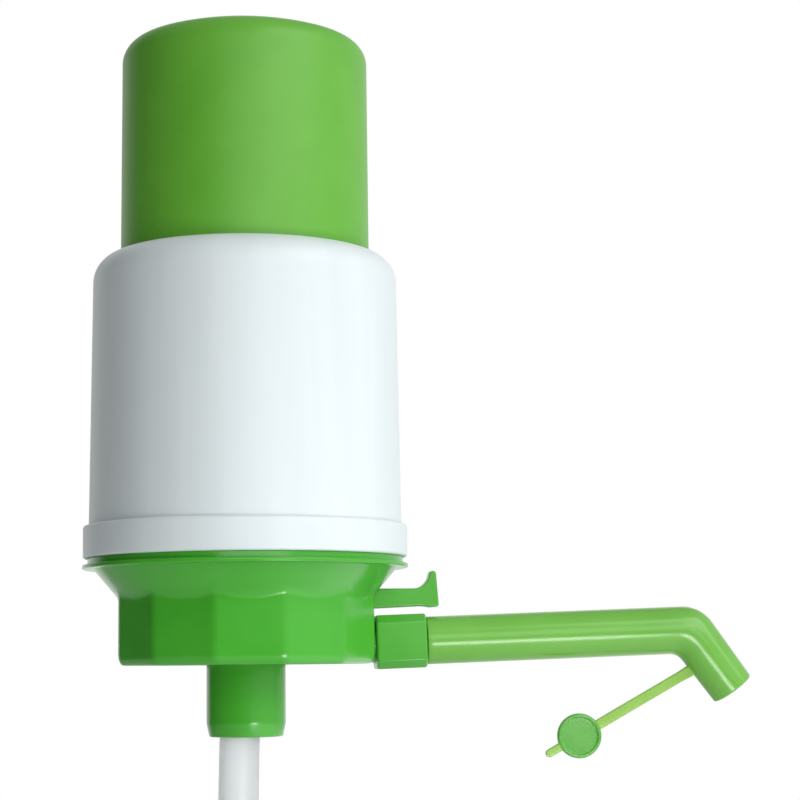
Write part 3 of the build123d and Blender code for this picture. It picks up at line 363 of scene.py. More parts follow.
@dataclass(frozen=True)
class Place:
    """Where a turned or thick piece stands: its origin and two directions across its axis."""

    origin: Point = (0.0, 0.0, 0.0)
    across: Point = (1.0, 0.0, 0.0)
    side: Point = (0.0, 1.0, 0.0)

    @classmethod
    def on(cls, origin: Array, course: Array) -> "Place":
        """Stand a place on a course in the upright plane, so that its axis runs along the course.

        Args:
            origin: Its origin.
            course: The course's direction.

        Returns:
            The place, across its course downwards and to the side.
        """
        return cls(tuple(origin), tuple(under(course)))

    def moved(self, origin: Array) -> "Place":
        """The same directions at another origin."""
        return replace(self, origin=tuple(origin))

    def centres(self, heights: Array) -> Array:
        """Points on the axis: the origin plus each height times across x side."""
        axis = np.cross(self.across, self.side)
        return np.array(self.origin) + np.asarray(heights, float)[:, None] * axis

    def carry(self, section: Array, heights: Array) -> Array:
        """Carry one section, or one for each height, up the axis.

        Args:
            section: (m, 2), or (n, m, 2) for one at each height.
            heights: The n heights.

        Returns:
            The (n, m, 3) grid of points.
        """
        return carried(section, self.centres(heights), np.array(self.across), np.array(self.side))

    def turned(self, outline: Array, columns: int = 120) -> Array:
        """Turn an outline about the axis: each ring is its radius times a unit circle.

        Args:
            outline: (radius, height) rows.
            columns: Points on each ring.

        Returns:
            The grid of rings.
        """
        return self.carry(outline[:, :1, None] * circle(columns), outline[:, 1])


UPRIGHT = Place()
# Its axis points out of the picture, so X and Z span it.
FACING = Place(side=(0.0, 0.0, 1.0))


@dataclass(frozen=True)
class Pipe:
    """An upright pipe, boss or washer: two radii, two heights, its rims and where it stands."""

    outer_r: float
    inner_r: float
    low_z: float
    high_z: float
    edge_r: float = 0.2
    centre: tuple[float, float] = (0.0, 0.0)


class Skin:
    """A mesh gathered from grids of points, in millimetres."""

    def __init__(self) -> None:
        """Start with no points and no faces."""
        self.points: list[Array] = []
        self.faces: list[list[int]] = []
        self.count = 0

    def add(self, grid: Array, loop: bool = True, hole: Array | None = None) -> Array:
        """Add a grid of rings: neighbours in both directions span a four-sided face.

        Args:
            grid: (rows, columns, 3). The columns always close on themselves.
            loop: True where the last row joins the first.
            hole: True for each face that is left out.

        Returns:
            The index of each point, as (rows, columns).
        """
        index = self.count + np.arange(grid.shape[0] * grid.shape[1]).reshape(grid.shape[:2])
        self.points.append(grid.reshape(-1, 3))
        self.count += index.size
        right = np.roll(index, -1, 1)
        quads = np.stack([index, right, np.roll(right, -1, 0), np.roll(index, -1, 0)], -1)
        keep = np.ones(index.shape, bool) if hole is None else ~hole
        keep[-1] &= loop
        self.faces += quads[keep].tolist()
        return index

    def close(self, ring: Array, point: Array | None = None, low: bool = False) -> None:
        """Close a ring with a fan of triangles to a point, or with one flat face.

        Args:
            ring: The ring's indices.
            point: Where the fan meets, or None for a flat face.
            low: True for the first ring of a grid, whose lid faces back.
        """
        if point is None:
            self.faces.append(ring[::-1].tolist() if low else ring.tolist())
            return
        self.points.append(np.asarray(point, float).reshape(1, 3))
        tip = np.full(len(ring), self.count)
        self.count += 1
        fan = np.stack([ring, np.roll(ring, -1), tip], -1)
        self.faces += (fan[:, ::-1] if low else fan).tolist()

    def bridge(self, outer: Array, inner: Array) -> None:
        """Join two loops that run side by side with a closed band of faces.

        Args:
            outer: Indices of the first loop.
            inner: Indices of the second, one beside each of the first.
        """
        band = np.stack([outer, np.roll(outer, -1), np.roll(inner, -1), inner], -1)
        self.faces += band.tolist()

    def rod(self, grid: Array) -> None:
        """Add an open grid of rings, and close each end with one flat face.

        Args:
            grid: (rows, columns, 3).
        """
        index = self.add(grid, loop=False)
        self.close(index[0], low=True)
        self.close(index[-1])

    def ring(self, outline: Array, place: Place = UPRIGHT, columns: int = 120) -> None:
        """Add a closed outline, turned about a place's axis.

        Args:
            outline: (radius, height) rows.
            place: Where it stands.
            columns: Points on each ring.
        """
        self.add(place.turned(outline, columns))

    def dome(self, outline: Array, place: Place = UPRIGHT, columns: int = 120) -> None:
        """Add an open outline that starts and ends on the axis, closed there with two fans.

        Args:
            outline: (radius, height) rows.
            place: Where it stands.
            columns: Points on each ring.
        """
        index = self.add(place.turned(outline[1:-1], columns), loop=False)
        ends = place.centres(outline[[0, -1], 1])
        self.close(index[0], ends[0], low=True)
        self.close(index[-1], ends[1])

    def pipe(self, pipe: Pipe) -> None:
        """Add a pipe: a rectangle between its radii and heights, rounded and turned.

        Args:
            pipe: Its sizes.
        """
        wall = box((pipe.inner_r, pipe.outer_r), (pipe.low_z, pipe.high_z))
        self.ring(rounded(wall, pipe.edge_r, steps=4), Place((*pipe.centre, 0.0)), 72)

    def slab(self, outline: Array, place: Place, low: float, high: float, edge: float) -> None:
        """Thicken a flat outline between two heights, with quarter circles round its rims.

        Each ring is the outline moved inwards along its own normals, by edge * (1 - sin t) at the
        height edge * (1 - cos t) from a face.

        Args:
            outline: The outline, anticlockwise in the place's two directions.
            place: The slab's place.
            low: First height along the axis.
            high: Last height.
            edge: Radius of the rims.
        """
        ahead = unit(np.roll(outline, -1, 0) - outline + TINY)
        course = unit(ahead + np.roll(ahead, 1, 0))
        outward = np.stack([course[:, 1], -course[:, 0]], -1)
        turn = np.linspace(0, pi / 2, 5)
        inset = np.concatenate([[edge + MARGIN], edge * (1 - np.sin(turn))])
        rise = np.concatenate([[0.0], edge * (1 - np.cos(turn))])
        insets = np.concatenate([inset, inset[::-1]])
        heights = np.concatenate([low + rise, high - rise[::-1]])
        sections = outline - insets[:, None, None] * outward
        self.rod(place.carry(sections, heights))

    def piece(self, name: str, finish: Finish, body: Body | None, *nodes: str) -> bpy.types.Object:
        """Make the piece, in metres, parent it to its body's empty, and hide the CAD nodes it stands
        for.

        Args:
            name: The piece's name.
            finish: Its finish, whose material it gets.
            body: The body it rides on, or None for a piece left on no body.
            *nodes: The CAD nodes that it replaces.

        Returns:
            The piece, at the origin.
        """
        mesh = bpy.data.meshes.new(name)
        mesh.from_pydata(np.vstack(self.points) * MM, [], self.faces)
        mesh.validate()
        mesh.shade_smooth()
        mesh.set_sharp_from_angle(angle=radians(SHARP_DEG))
        mesh.materials.append(finish.material())
        made = bpy.data.objects.new(name, mesh)
        bpy.context.scene.collection.objects.link(made)
        if nodes:
            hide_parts(*nodes)
        if body is not None:
            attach(made, body.value)
        LOG.info("%s: %d faces, %s", name, len(mesh.polygons), body)
        return made


# ---------------------------------------------------------------- sub-assemblies


@dataclass
class PushCap:
    """The domed cap that is pressed down, with the posts that carry the bellows' plate."""

    apex_z: float = 162.0
    dome_r: float = 84.6
    edge_r: float = 6.3
    top_r: float = 33.15
    mouth_r: float = 33.4
    wall: float = 2.0
    bead_r: float = 38.0
    bead_top_z: float = 92.83
    bead_h: float = 3.0
    post_r: float = 3.2
    post_bore_r: float = 1.2
    post_ring_r: float = 18.0
    post_count: int = 3
    post_foot_z: float = 150.5
    draft: float = 0.02
    draft_h: float = 2.0
    bead_edge_r: float = 0.35
    bead_run: tuple[float, float] = (0.4, 1.2)
    edge_rows: int = 16
    dome_rows: int = 26
    columns: int = 192

    def outline(self, shrink: float, low_z: float) -> Array:
        """Work out the wall, rounded edge and dome, moved inwards by a wall.

        Args:
            shrink: How far inside the outer surface the line runs.
            low_z: Height of the wall's lower end.

        Returns:
            (radius, z) rows from the wall's foot up to the apex.
        """
        dome_z = self.apex_z - self.dome_r
        edge_centre_r = self.top_r - self.edge_r
        edge_z = dome_z + sqrt((self.dome_r - self.edge_r) ** 2 - edge_centre_r**2)
        turn = degrees(atan2(edge_z - dome_z, edge_centre_r))
        foot_r = self.mouth_r - shrink
        foot = np.array([[foot_r, low_z], [foot_r - self.draft, low_z + self.draft_h]])
        edge = arc((edge_centre_r, edge_z), self.edge_r - shrink, 0, turn, self.edge_rows)
        dome = arc((0, dome_z), self.dome_r - shrink, turn, 90, self.dome_rows)
        return np.vstack([foot, edge, dome[1:]])

    def build(self) -> None:
        """Make the shell as one turned wall, and the posts inside it."""
        low_z, top_z = self.bead_top_z - self.bead_h, self.bead_top_z
        bore_r = self.mouth_r - self.wall
        inside = self.outline(self.wall, low_z + self.bead_run[0])[::-1]
        # The bead's line runs a little up both walls, which rounds its corners there.
        bead = rounded(
            [(bore_r, low_z + 0.5), (bore_r, low_z), (self.bead_r, low_z), (self.bead_r, top_z),
             (self.mouth_r, top_z), (self.mouth_r, top_z + 1)],
            self.bead_edge_r, closed=False, steps=4,
        )
        outside = self.outline(0, top_z + self.bead_run[1])
        shell = Skin()
        shell.dome(np.vstack([inside, bead[1:-1], outside]), columns=self.columns)
        shell.piece("push_cap_shell", CAP_GREEN, Body.CAP, "push_cap")
        posts = Skin()
        reach = self.post_ring_r + self.post_r
        post_top_z = self.apex_z - self.dome_r + sqrt(self.dome_r**2 - reach**2) - self.wall / 2
        for turn in np.arange(self.post_count) * 2 * pi / self.post_count:
            centre = (self.post_ring_r * cos(turn), self.post_ring_r * sin(turn))
            posts.pipe(Pipe(self.post_r, self.post_bore_r, self.post_foot_z, post_top_z, centre=centre))
        posts.piece("push_cap_posts", CAP_GREEN, Body.CAP)


@dataclass
class OuterCover:
    """The white cover round the bellows: stepped foot, tapered wall and rounded shoulder."""

    bottom_z: float = 17.1
    top_z: float = 98.5
    top_r: float = 40.7
    bottom_r: float = 41.6
    shoulder_r: float = 7.8
    wall: float = 2.0
    opening_r: float = 33.7
    lip_r: float = 0.7
    foot_r: float = 43.0
    foot_h: float = 8.6
    foot_edge_r: float = 0.7
    step_edge_r: float = 0.35
    inner_edge_r: float = 0.3
    columns: int = 216

    def build(self) -> None:
        """Make the cover as one closed outline, turned."""
        centre = (self.top_r - self.shoulder_r, self.top_z - self.shoulder_r)
        lean = (self.bottom_r - self.top_r) / (centre[1] - self.bottom_z)
        step_z = self.bottom_z + self.foot_h
        step_r = self.top_r + lean * (centre[1] - step_z)
        inner_z = step_z - self.wall
        inner_r, bore_r = self.foot_r - self.wall, step_r - self.wall
        foot = rounded(
            [(bore_r, centre[1]), (bore_r, inner_z), (inner_r, inner_z), (inner_r, self.bottom_z),
             (self.foot_r, self.bottom_z), (self.foot_r, step_z), (step_r, step_z),
             (self.top_r, centre[1])],
            [*[self.inner_edge_r] * 4, self.foot_edge_r, self.foot_edge_r, self.step_edge_r,
             self.inner_edge_r],
            closed=False, steps=8,
        )[1:]
        lip_x = self.opening_r + self.lip_r
        lip_z = centre[1] + sqrt((self.shoulder_r - self.lip_r) ** 2 - (lip_x - centre[0]) ** 2)
        lip_turn = degrees(atan2(lip_z - centre[1], lip_x - centre[0]))
        shoulder = arc(centre, self.shoulder_r, 0, lip_turn, 24)
        lip = arc((lip_x, lip_z), self.lip_r, lip_turn, 180, 10)
        shell_r, opening = self.shoulder_r - self.wall, self.opening_r - centre[0]
        inner_turn = degrees(atan2(sqrt(shell_r**2 - opening**2), opening))
        inside = arc(centre, shell_r, inner_turn, 0, 14)
        skin = Skin()
        skin.ring(np.vstack([foot[:-1], shoulder, lip[1:], inside]), columns=self.columns)
        skin.piece("outer_cover_shell", WHITE, Body.BASE, "outer_cover")


@dataclass
class BaseMoulding:
    """The green base: twelve-sided collar, funnel, rim and spigot, floor and nozzle sleeve.

    Rows and columns say where the wall's grid has its points, beside those of its edges.
    """

    sides: int = 12
    flat_r: float = 33.5
    corner_r: float = 5.0
    bottom_z: float = -11.0
    bottom_edge_r: float = 1.5
    bottom_edge_h: float = 3.0
    bore_r: float = 31.8
    funnel_z: float = 6.4
    funnel_top_z: float = 14.3
    funnel_top_r: float = 40.2
    funnel_wall: float = 2.2
    crease_w: float = 1.3
    rim_r: float = 43.2
    rim_top_z: float = 15.4
    band_r: float = 41.8
    cover_z: float = 17.1
    spigot_r: float = 40.7
    spigot_top_z: float = 23.4
    spigot_wall: float = 2.2
    slot_half_w: float = 3.4
    slot_low_z: float = 3.023
    slot_high_z: float = 10.3
    floor_z: float = 2.0
    floor_top_z: float = 4.0
    nozzle_r: float = 10.45
    nozzle_tip_r: float = 9.7
    nozzle_tip_h: float = 3.6
    nozzle_wall: float = 1.6
    nozzle_z: float = -29.8
    column_degs: tuple[float, ...] = (
        0.0, 2.2, 4.2, 7.5, 9.3, 11.0, 12.3, 13.2, 13.6, 13.9, 14.15, 14.4, 14.6, 14.8
    )
    collar_rows: tuple[float, ...] = (-5.0, -1.0, 1.5)
    slot_rows: tuple[float, float] = (4.4, 9.6)
    crease_rows: tuple[float, float, int] = (5.5, 9.0, 36)
    funnel_rows: tuple[float, ...] = (11.6, 12.8)
    join: float = 0.3
    hub: Pipe = Pipe(7.5, 4.5, 3.6, 6.8)
    gasket_seat: Pipe = Pipe(17.4, 16.0, 3.6, 11.8)
    valve_port: Pipe = Pipe(2.8, 1.5, 3.6, 5.0, 0.15, centre=(20.4, 0.0))
    screw_post: Pipe = Pipe(2.8, 1.22, 3.0, 26.2)
    post_ring_r: float = 31.0
    post_degs: tuple[float, ...] = (45.0, 135.0, 225.0, 315.0)
    gallery_r: tuple[float, float] = (28.1, 32.4)
    gallery_z: tuple[float, float] = (-9.8, 2.3)
    gallery_degs: tuple[float, float] = (41.0, -13.0)
    duct_r: tuple[float, float] = (6.5, 32.0)
    duct_half_w: float = 5.2
    duct_z: tuple[float, float] = (3.6, 6.8)
    duct_deg: float = 29.5
    ear_x: tuple[float, float] = (28.3, 32.9)
    ear_z: tuple[float, float] = (3.0, 9.3)
    ear_r: float = 1.8
    ear_w: float = 2.0
    ear_ys: tuple[float, float] = (3.4, -5.4)
    # Radii of the corners, in the order of their outlines.
    top_edges: tuple[float, ...] = (0.3, 0.25, 0.35, 0.35, 0.2, 0.2, 0.2, 0.4, 0.4, 0.4, 0.3)
    bore_edge_r: float = 0.12
    nozzle_edges: tuple[float, ...] = (0.3, 0.5, 3.0, 0.2, 0.2)
    gallery_edge_r: float = 0.3
    duct_edges: tuple[float, float] = (0.4, 0.3)
    ear_edge_r: float = 0.2

    def azimuths(self) -> Array:
        """Work out the wall's columns, close together at each corner and on the slot's two sides.

        Returns:
            Angles about the axis, in radians.
        """
        slot_deg, corner_deg = degrees(atan2(self.slot_half_w, self.flat_r)), 180.0 / self.sides
        half = np.sort([slot_deg, *self.column_degs])
        flat = np.concatenate([-half[:0:-1], half, [corner_deg]])
        middles = -180.0 + 2 * corner_deg * np.arange(self.sides)
        return np.radians((middles[:, None] + flat).reshape(-1))

    def facet_r(self, azimuth: Array) -> Array:
        """Distance from the axis to the collar's flats and their rounded corners.

        On a flat it is flat_r / cos(angle from the flat's middle). Near a corner it is where the
        ray leaves the corner's circle: reach * cos(a) + sqrt(corner_r^2 - (reach * sin(a))^2), with
        a the angle from the corner and reach the distance of the circle's centre.

        Args:
            azimuth: Angles about the axis, in radians.

        Returns:
            The distance at each angle.
        """
        half = pi / self.sides
        off = np.abs((azimuth + half) % (2 * half) - half)
        reach = (self.flat_r - self.corner_r) / cos(half)
        start = atan2(reach * sin(half), self.flat_r)
        away = np.clip(half - off, 0, half)
        inside = np.clip(self.corner_r**2 - (reach * np.sin(away)) ** 2, 0, None)
        corner = reach * np.cos(away) + np.sqrt(inside)
        return np.where(off < start, self.flat_r / np.cos(off), corner)

    def wall(self) -> tuple[Array, int, int, int]:
        """Work out the collar and funnel as one closed wall.

        Outside, the radius is the larger of the flats' and the cone's, with a soft crease of
        crease_w between them. The rest is turned about the axis.

        Returns:
            The grid, its first row inside, and the slot's first and last outside rows.
        """
        azimuth = self.azimuths()
        flat = self.facet_r(azimuth)
        turn = np.linspace(0, pi / 2, 8)
        foot_z = self.bottom_z + self.bottom_edge_h * (1 - np.cos(turn))
        below, above = self.slot_rows
        crease_z = np.linspace(*self.crease_rows)
        slot_z = np.array([self.slot_low_z, below, *crease_z, above, self.slot_high_z])
        wall_z = np.concatenate([foot_z, self.collar_rows, slot_z, self.funnel_rows])
        inset = np.zeros(len(wall_z))
        inset[:len(turn)] = self.bottom_edge_r * (1 - np.sin(turn))
        slope = (self.funnel_top_r - self.flat_r) / (self.funnel_top_z - self.funnel_z)
        cone = self.flat_r + slope * (wall_z - self.funnel_z)
        faceted = flat - inset[:, None]
        overlap = np.clip(self.crease_w - np.abs(faceted - cone[:, None]), 0, None) / self.crease_w
        outside_r = np.maximum(faceted, cone[:, None]) + self.crease_w * overlap**2 / 4
        inner_slope = (self.funnel_top_r - self.funnel_wall - self.bore_r) / (
            self.funnel_top_z - self.funnel_z
        )
        inner_r, inner_top_z = self.spigot_r - self.spigot_wall, self.slot_high_z + 0.5
        top = rounded(
            [(cone[-1], wall_z[-1]), (self.funnel_top_r, self.funnel_top_z),
             (self.rim_r, self.funnel_top_z), (self.rim_r, self.rim_top_z),
             (self.band_r, self.rim_top_z), (self.band_r, self.cover_z),
             (self.spigot_r, self.cover_z), (self.spigot_r, self.spigot_top_z),
             (inner_r, self.spigot_top_z), (inner_r, self.rim_top_z),
             (self.bore_r + inner_slope * (inner_top_z - self.funnel_z), inner_top_z)],
            self.top_edges, closed=False, steps=5,
        )[1:]
        inside_z = slot_z[::-1]
        inside_r = self.bore_r + inner_slope * np.clip(inside_z - self.funnel_z, 0, None)
        bottom = rounded(
            [(self.bore_r, self.floor_z), (self.bore_r, self.bottom_z),
             (self.flat_r - self.bottom_edge_r, self.bottom_z)],
            self.bore_edge_r, closed=False, steps=4,
        )[:-1]
        turned = np.vstack([top, np.stack([inside_r, inside_z], -1), bottom])
        radii = np.vstack([outside_r, np.broadcast_to(turned[:, :1], (len(turned), len(azimuth)))])
        heights = np.broadcast_to(np.concatenate([wall_z, turned[:, 1]])[:, None], radii.shape)
        grid = np.stack([radii * np.cos(azimuth), radii * np.sin(azimuth), heights], -1)
        first = len(foot_z) + len(self.collar_rows)
        return grid, len(wall_z) + len(top), first, first + len(slot_z) - 1

    def build_wall(self) -> None:
        """Make the wall, cut the lever's slot through it and line the slot."""
        grid, inside, low, high = self.wall()
        azimuth = self.azimuths()
        slot = atan2(self.slot_half_w, self.flat_r)
        columns = np.flatnonzero(np.abs(azimuth) <= slot + SLACK)
        left, right = columns[0], columns[-1]
        hole = np.zeros(grid.shape[:2], bool)
        hole[low:high, left:right] = True
        hole[inside:inside + high - low, left:right] = True
        skin = Skin()
        index = skin.add(grid, hole=hole)
        outer = index[low:high + 1, left:right + 1]
        inner = index[inside:inside + high - low + 1, left:right + 1][::-1]
        skin.bridge(self.border(outer), self.border(inner))
        skin.piece("base_collar", BASE_GREEN, Body.BASE, "base_body")

    @staticmethod
    def border(block: Array) -> Array:
        """List a block's outer indices: along its low row, up, back along its high row and down.

        Args:
            block: Indices, as (rows, columns).

        Returns:
            The indices round it, each once.
        """
        return np.concatenate([block[0, :-1], block[:-1, -1], block[-1, :0:-1], block[:0:-1, 0]])

    def build_inside(self) -> None:
        """Make the floor, nozzle sleeve, water gallery, hub, duct, seats, posts and ears."""
        skin = Skin()
        skin.pipe(Pipe(self.bore_r + self.join, self.hub.inner_r, self.floor_z, self.floor_top_z))
        inner_r, top_z = self.nozzle_r - self.nozzle_wall, self.floor_z + 0.5
        sleeve = rounded(
            [(inner_r, self.nozzle_z), (self.nozzle_tip_r, self.nozzle_z),
             (self.nozzle_r, self.nozzle_z + self.nozzle_tip_h), (self.nozzle_r, top_z),
             (inner_r, top_z)],
            self.nozzle_edges, steps=6,
        )
        skin.ring(sleeve, columns=96)
        turn = np.radians(np.linspace(*self.gallery_degs, 28))
        radial = np.stack([np.cos(turn), np.sin(turn), 0 * turn], -1)
        gallery = rounded(box(self.gallery_r, self.gallery_z), self.gallery_edge_r, steps=4)
        skin.rod(carried(gallery, 0 * radial, radial, np.array([0.0, 0.0, 1.0])))
        for pipe in (self.hub, self.gasket_seat, self.valve_port):
            skin.pipe(pipe)
        for turn in np.radians(self.post_degs):
            centre = (self.post_ring_r * cos(turn), self.post_ring_r * sin(turn))
            skin.pipe(replace(self.screw_post, centre=centre))
        turn = radians(self.duct_deg)
        along_duct = Place(across=(cos(turn), sin(turn), 0.0), side=(-sin(turn), cos(turn), 0.0))
        corner_r, face_r = self.duct_edges
        duct = rounded(box(self.duct_r, (-self.duct_half_w, self.duct_half_w)), corner_r, steps=4)
        skin.slab(duct, along_duct, *self.duct_z, face_r)
        edge_r = self.ear_edge_r
        ear = rounded(box(self.ear_x, self.ear_z), [edge_r, edge_r, self.ear_r, self.ear_r], steps=6)
        for near_y in self.ear_ys:
            skin.slab(ear, FACING, -near_y - self.ear_w, -near_y, edge_r)
        skin.piece("base_floor_and_nozzle", BASE_GREEN, Body.BASE)

    def build(self) -> None:
        """Make the base's wall and all that stands inside it."""
        self.build_wall()
        self.build_inside()


@dataclass(frozen=True)
class SpoutLine:
    """The spout's centre line: a gentle rise, one bend, and the outlet leg."""

    rise_deg: float = 1.8
    turn_deg: float = 55.6
    through: Point = (40.9, 0.0, -5.25)
    corner_x: float = 119.5

    @property
    def along(self) -> Array:
        """Direction of the straight run."""
        return np.array([cos(radians(self.rise_deg)), 0.0, sin(radians(self.rise_deg))])

    @property
    def leg(self) -> Array:
        """Direction of the outlet leg."""
        turn = radians(self.rise_deg - self.turn_deg)
        return np.array([cos(turn), 0.0, sin(turn)])

    @property
    def corner(self) -> Array:
        """Where the run's and the leg's centre lines cross."""
        return np.array(self.through) + self.along * ((self.corner_x - self.through[0]) / self.along[0])

    def at(self, distance: float) -> Place:
        """The place on the run at this distance from the block's middle."""
        return Place.on(np.array(self.through) + self.along * distance, self.along)


@dataclass
class SpoutBlock:
    """The bevelled block that plugs into the collar and carries the swivelling spout."""

    line: SpoutLine
    half_len: float = 6.7
    half_side: float = 7.1
    bevel: float = 2.0
    end_bevel: float = 0.7
    end_inset: float = 0.15
    neck_r: float = 5.5
    neck_len: float = 0.65
    stub_r: float = 4.3
    stub_len: float = 2.9
    bore_r: float = 2.9
    socket_r: float = 5.26
    socket_len: float = 8.0
    columns: int = 96
    corner_r: float = 0.55
    root_flare: float = 0.3
    root_h: float = 0.25
    mouth_bevel: float = 0.2

    def section(self) -> Array:
        """Work out the block's eight-sided section, its corners rounded, on evenly spread rays.

        Between two neighbours a and b of the outline, a ray in direction d reaches the distance
        (a x (b - a)) / (d x (b - a)).

        Returns:
            (columns, 2) points, one on each ray. The rays pass through every corner's arc too.
        """
        half, cut = self.half_side, self.half_side - self.bevel
        corners = rounded(
            [(half, -cut), (half, cut), (cut, half), (-cut, half), (-half, cut), (-half, -cut),
             (-cut, -half), (cut, -half)],
            self.corner_r, steps=5,
        )
        angles = np.arctan2(corners[:, 1], corners[:, 0])
        order = np.argsort(angles)
        angles, points = angles[order], np.tile(corners[order], (3, 1))
        even = np.linspace(-pi, pi, self.columns - len(angles), endpoint=False)
        rays = np.sort(np.concatenate([angles, even]))
        spread = np.concatenate([angles - 2 * pi, angles, angles + 2 * pi])
        after = np.clip(np.searchsorted(spread, rays, side="right"), 1, len(spread) - 1)
        a, edge = points[after - 1], points[after] - points[after - 1]
        ray = np.stack([np.cos(rays), np.sin(rays)], -1)
        reach = (a[:, 0] * edge[:, 1] - a[:, 1] * edge[:, 0]) / (
            ray[:, 0] * edge[:, 1] - ray[:, 1] * edge[:, 0] + TINY
        )
        return ray * reach[:, None]

    def build(self) -> None:
        """Make the block as rings from its bore, out over the faces, back to the stub."""
        full = self.section()
        round_ring = unit(full)
        turn = np.linspace(0, pi / 2, 6)
        rim = self.end_bevel * (1 - np.sin(turn))
        inset = np.concatenate([[self.end_bevel + self.end_inset], rim])
        depth = np.concatenate([[0.0], self.end_bevel * (1 - np.cos(turn))])
        scale = (self.half_side - inset) / self.half_side
        low, high = -self.half_len, self.half_len
        neck_low, stub_low = low - self.neck_len, low - self.stub_len
        socket_low = high - self.socket_len
        root = [
            (self.bore_r, socket_low), (self.bore_r, stub_low), (self.stub_r, stub_low),
            (self.stub_r, neck_low), (self.neck_r, neck_low), (self.neck_r, low - self.root_h),
            (self.neck_r + self.root_flare, low),
        ]
        mouth = [
            (self.socket_r + self.mouth_bevel, high), (self.socket_r, high - self.mouth_bevel),
            (self.socket_r, socket_low),
        ]
        rings = [
            *[(r * round_ring, z) for r, z in root],
            *[(full * s, low + d) for s, d in zip(scale, depth)],
            *[(full * s, high - d) for s, d in zip(scale[::-1], depth[::-1])],
            *[(r * round_ring, z) for r, z in mouth],
        ]
        sections, heights = (np.array(part) for part in zip(*rings))
        skin = Skin()
        skin.add(self.line.at(0.0).carry(sections, heights))
        skin.piece("spout_block_body", BLOCK_GREEN, Body.BASE, "spout_block")


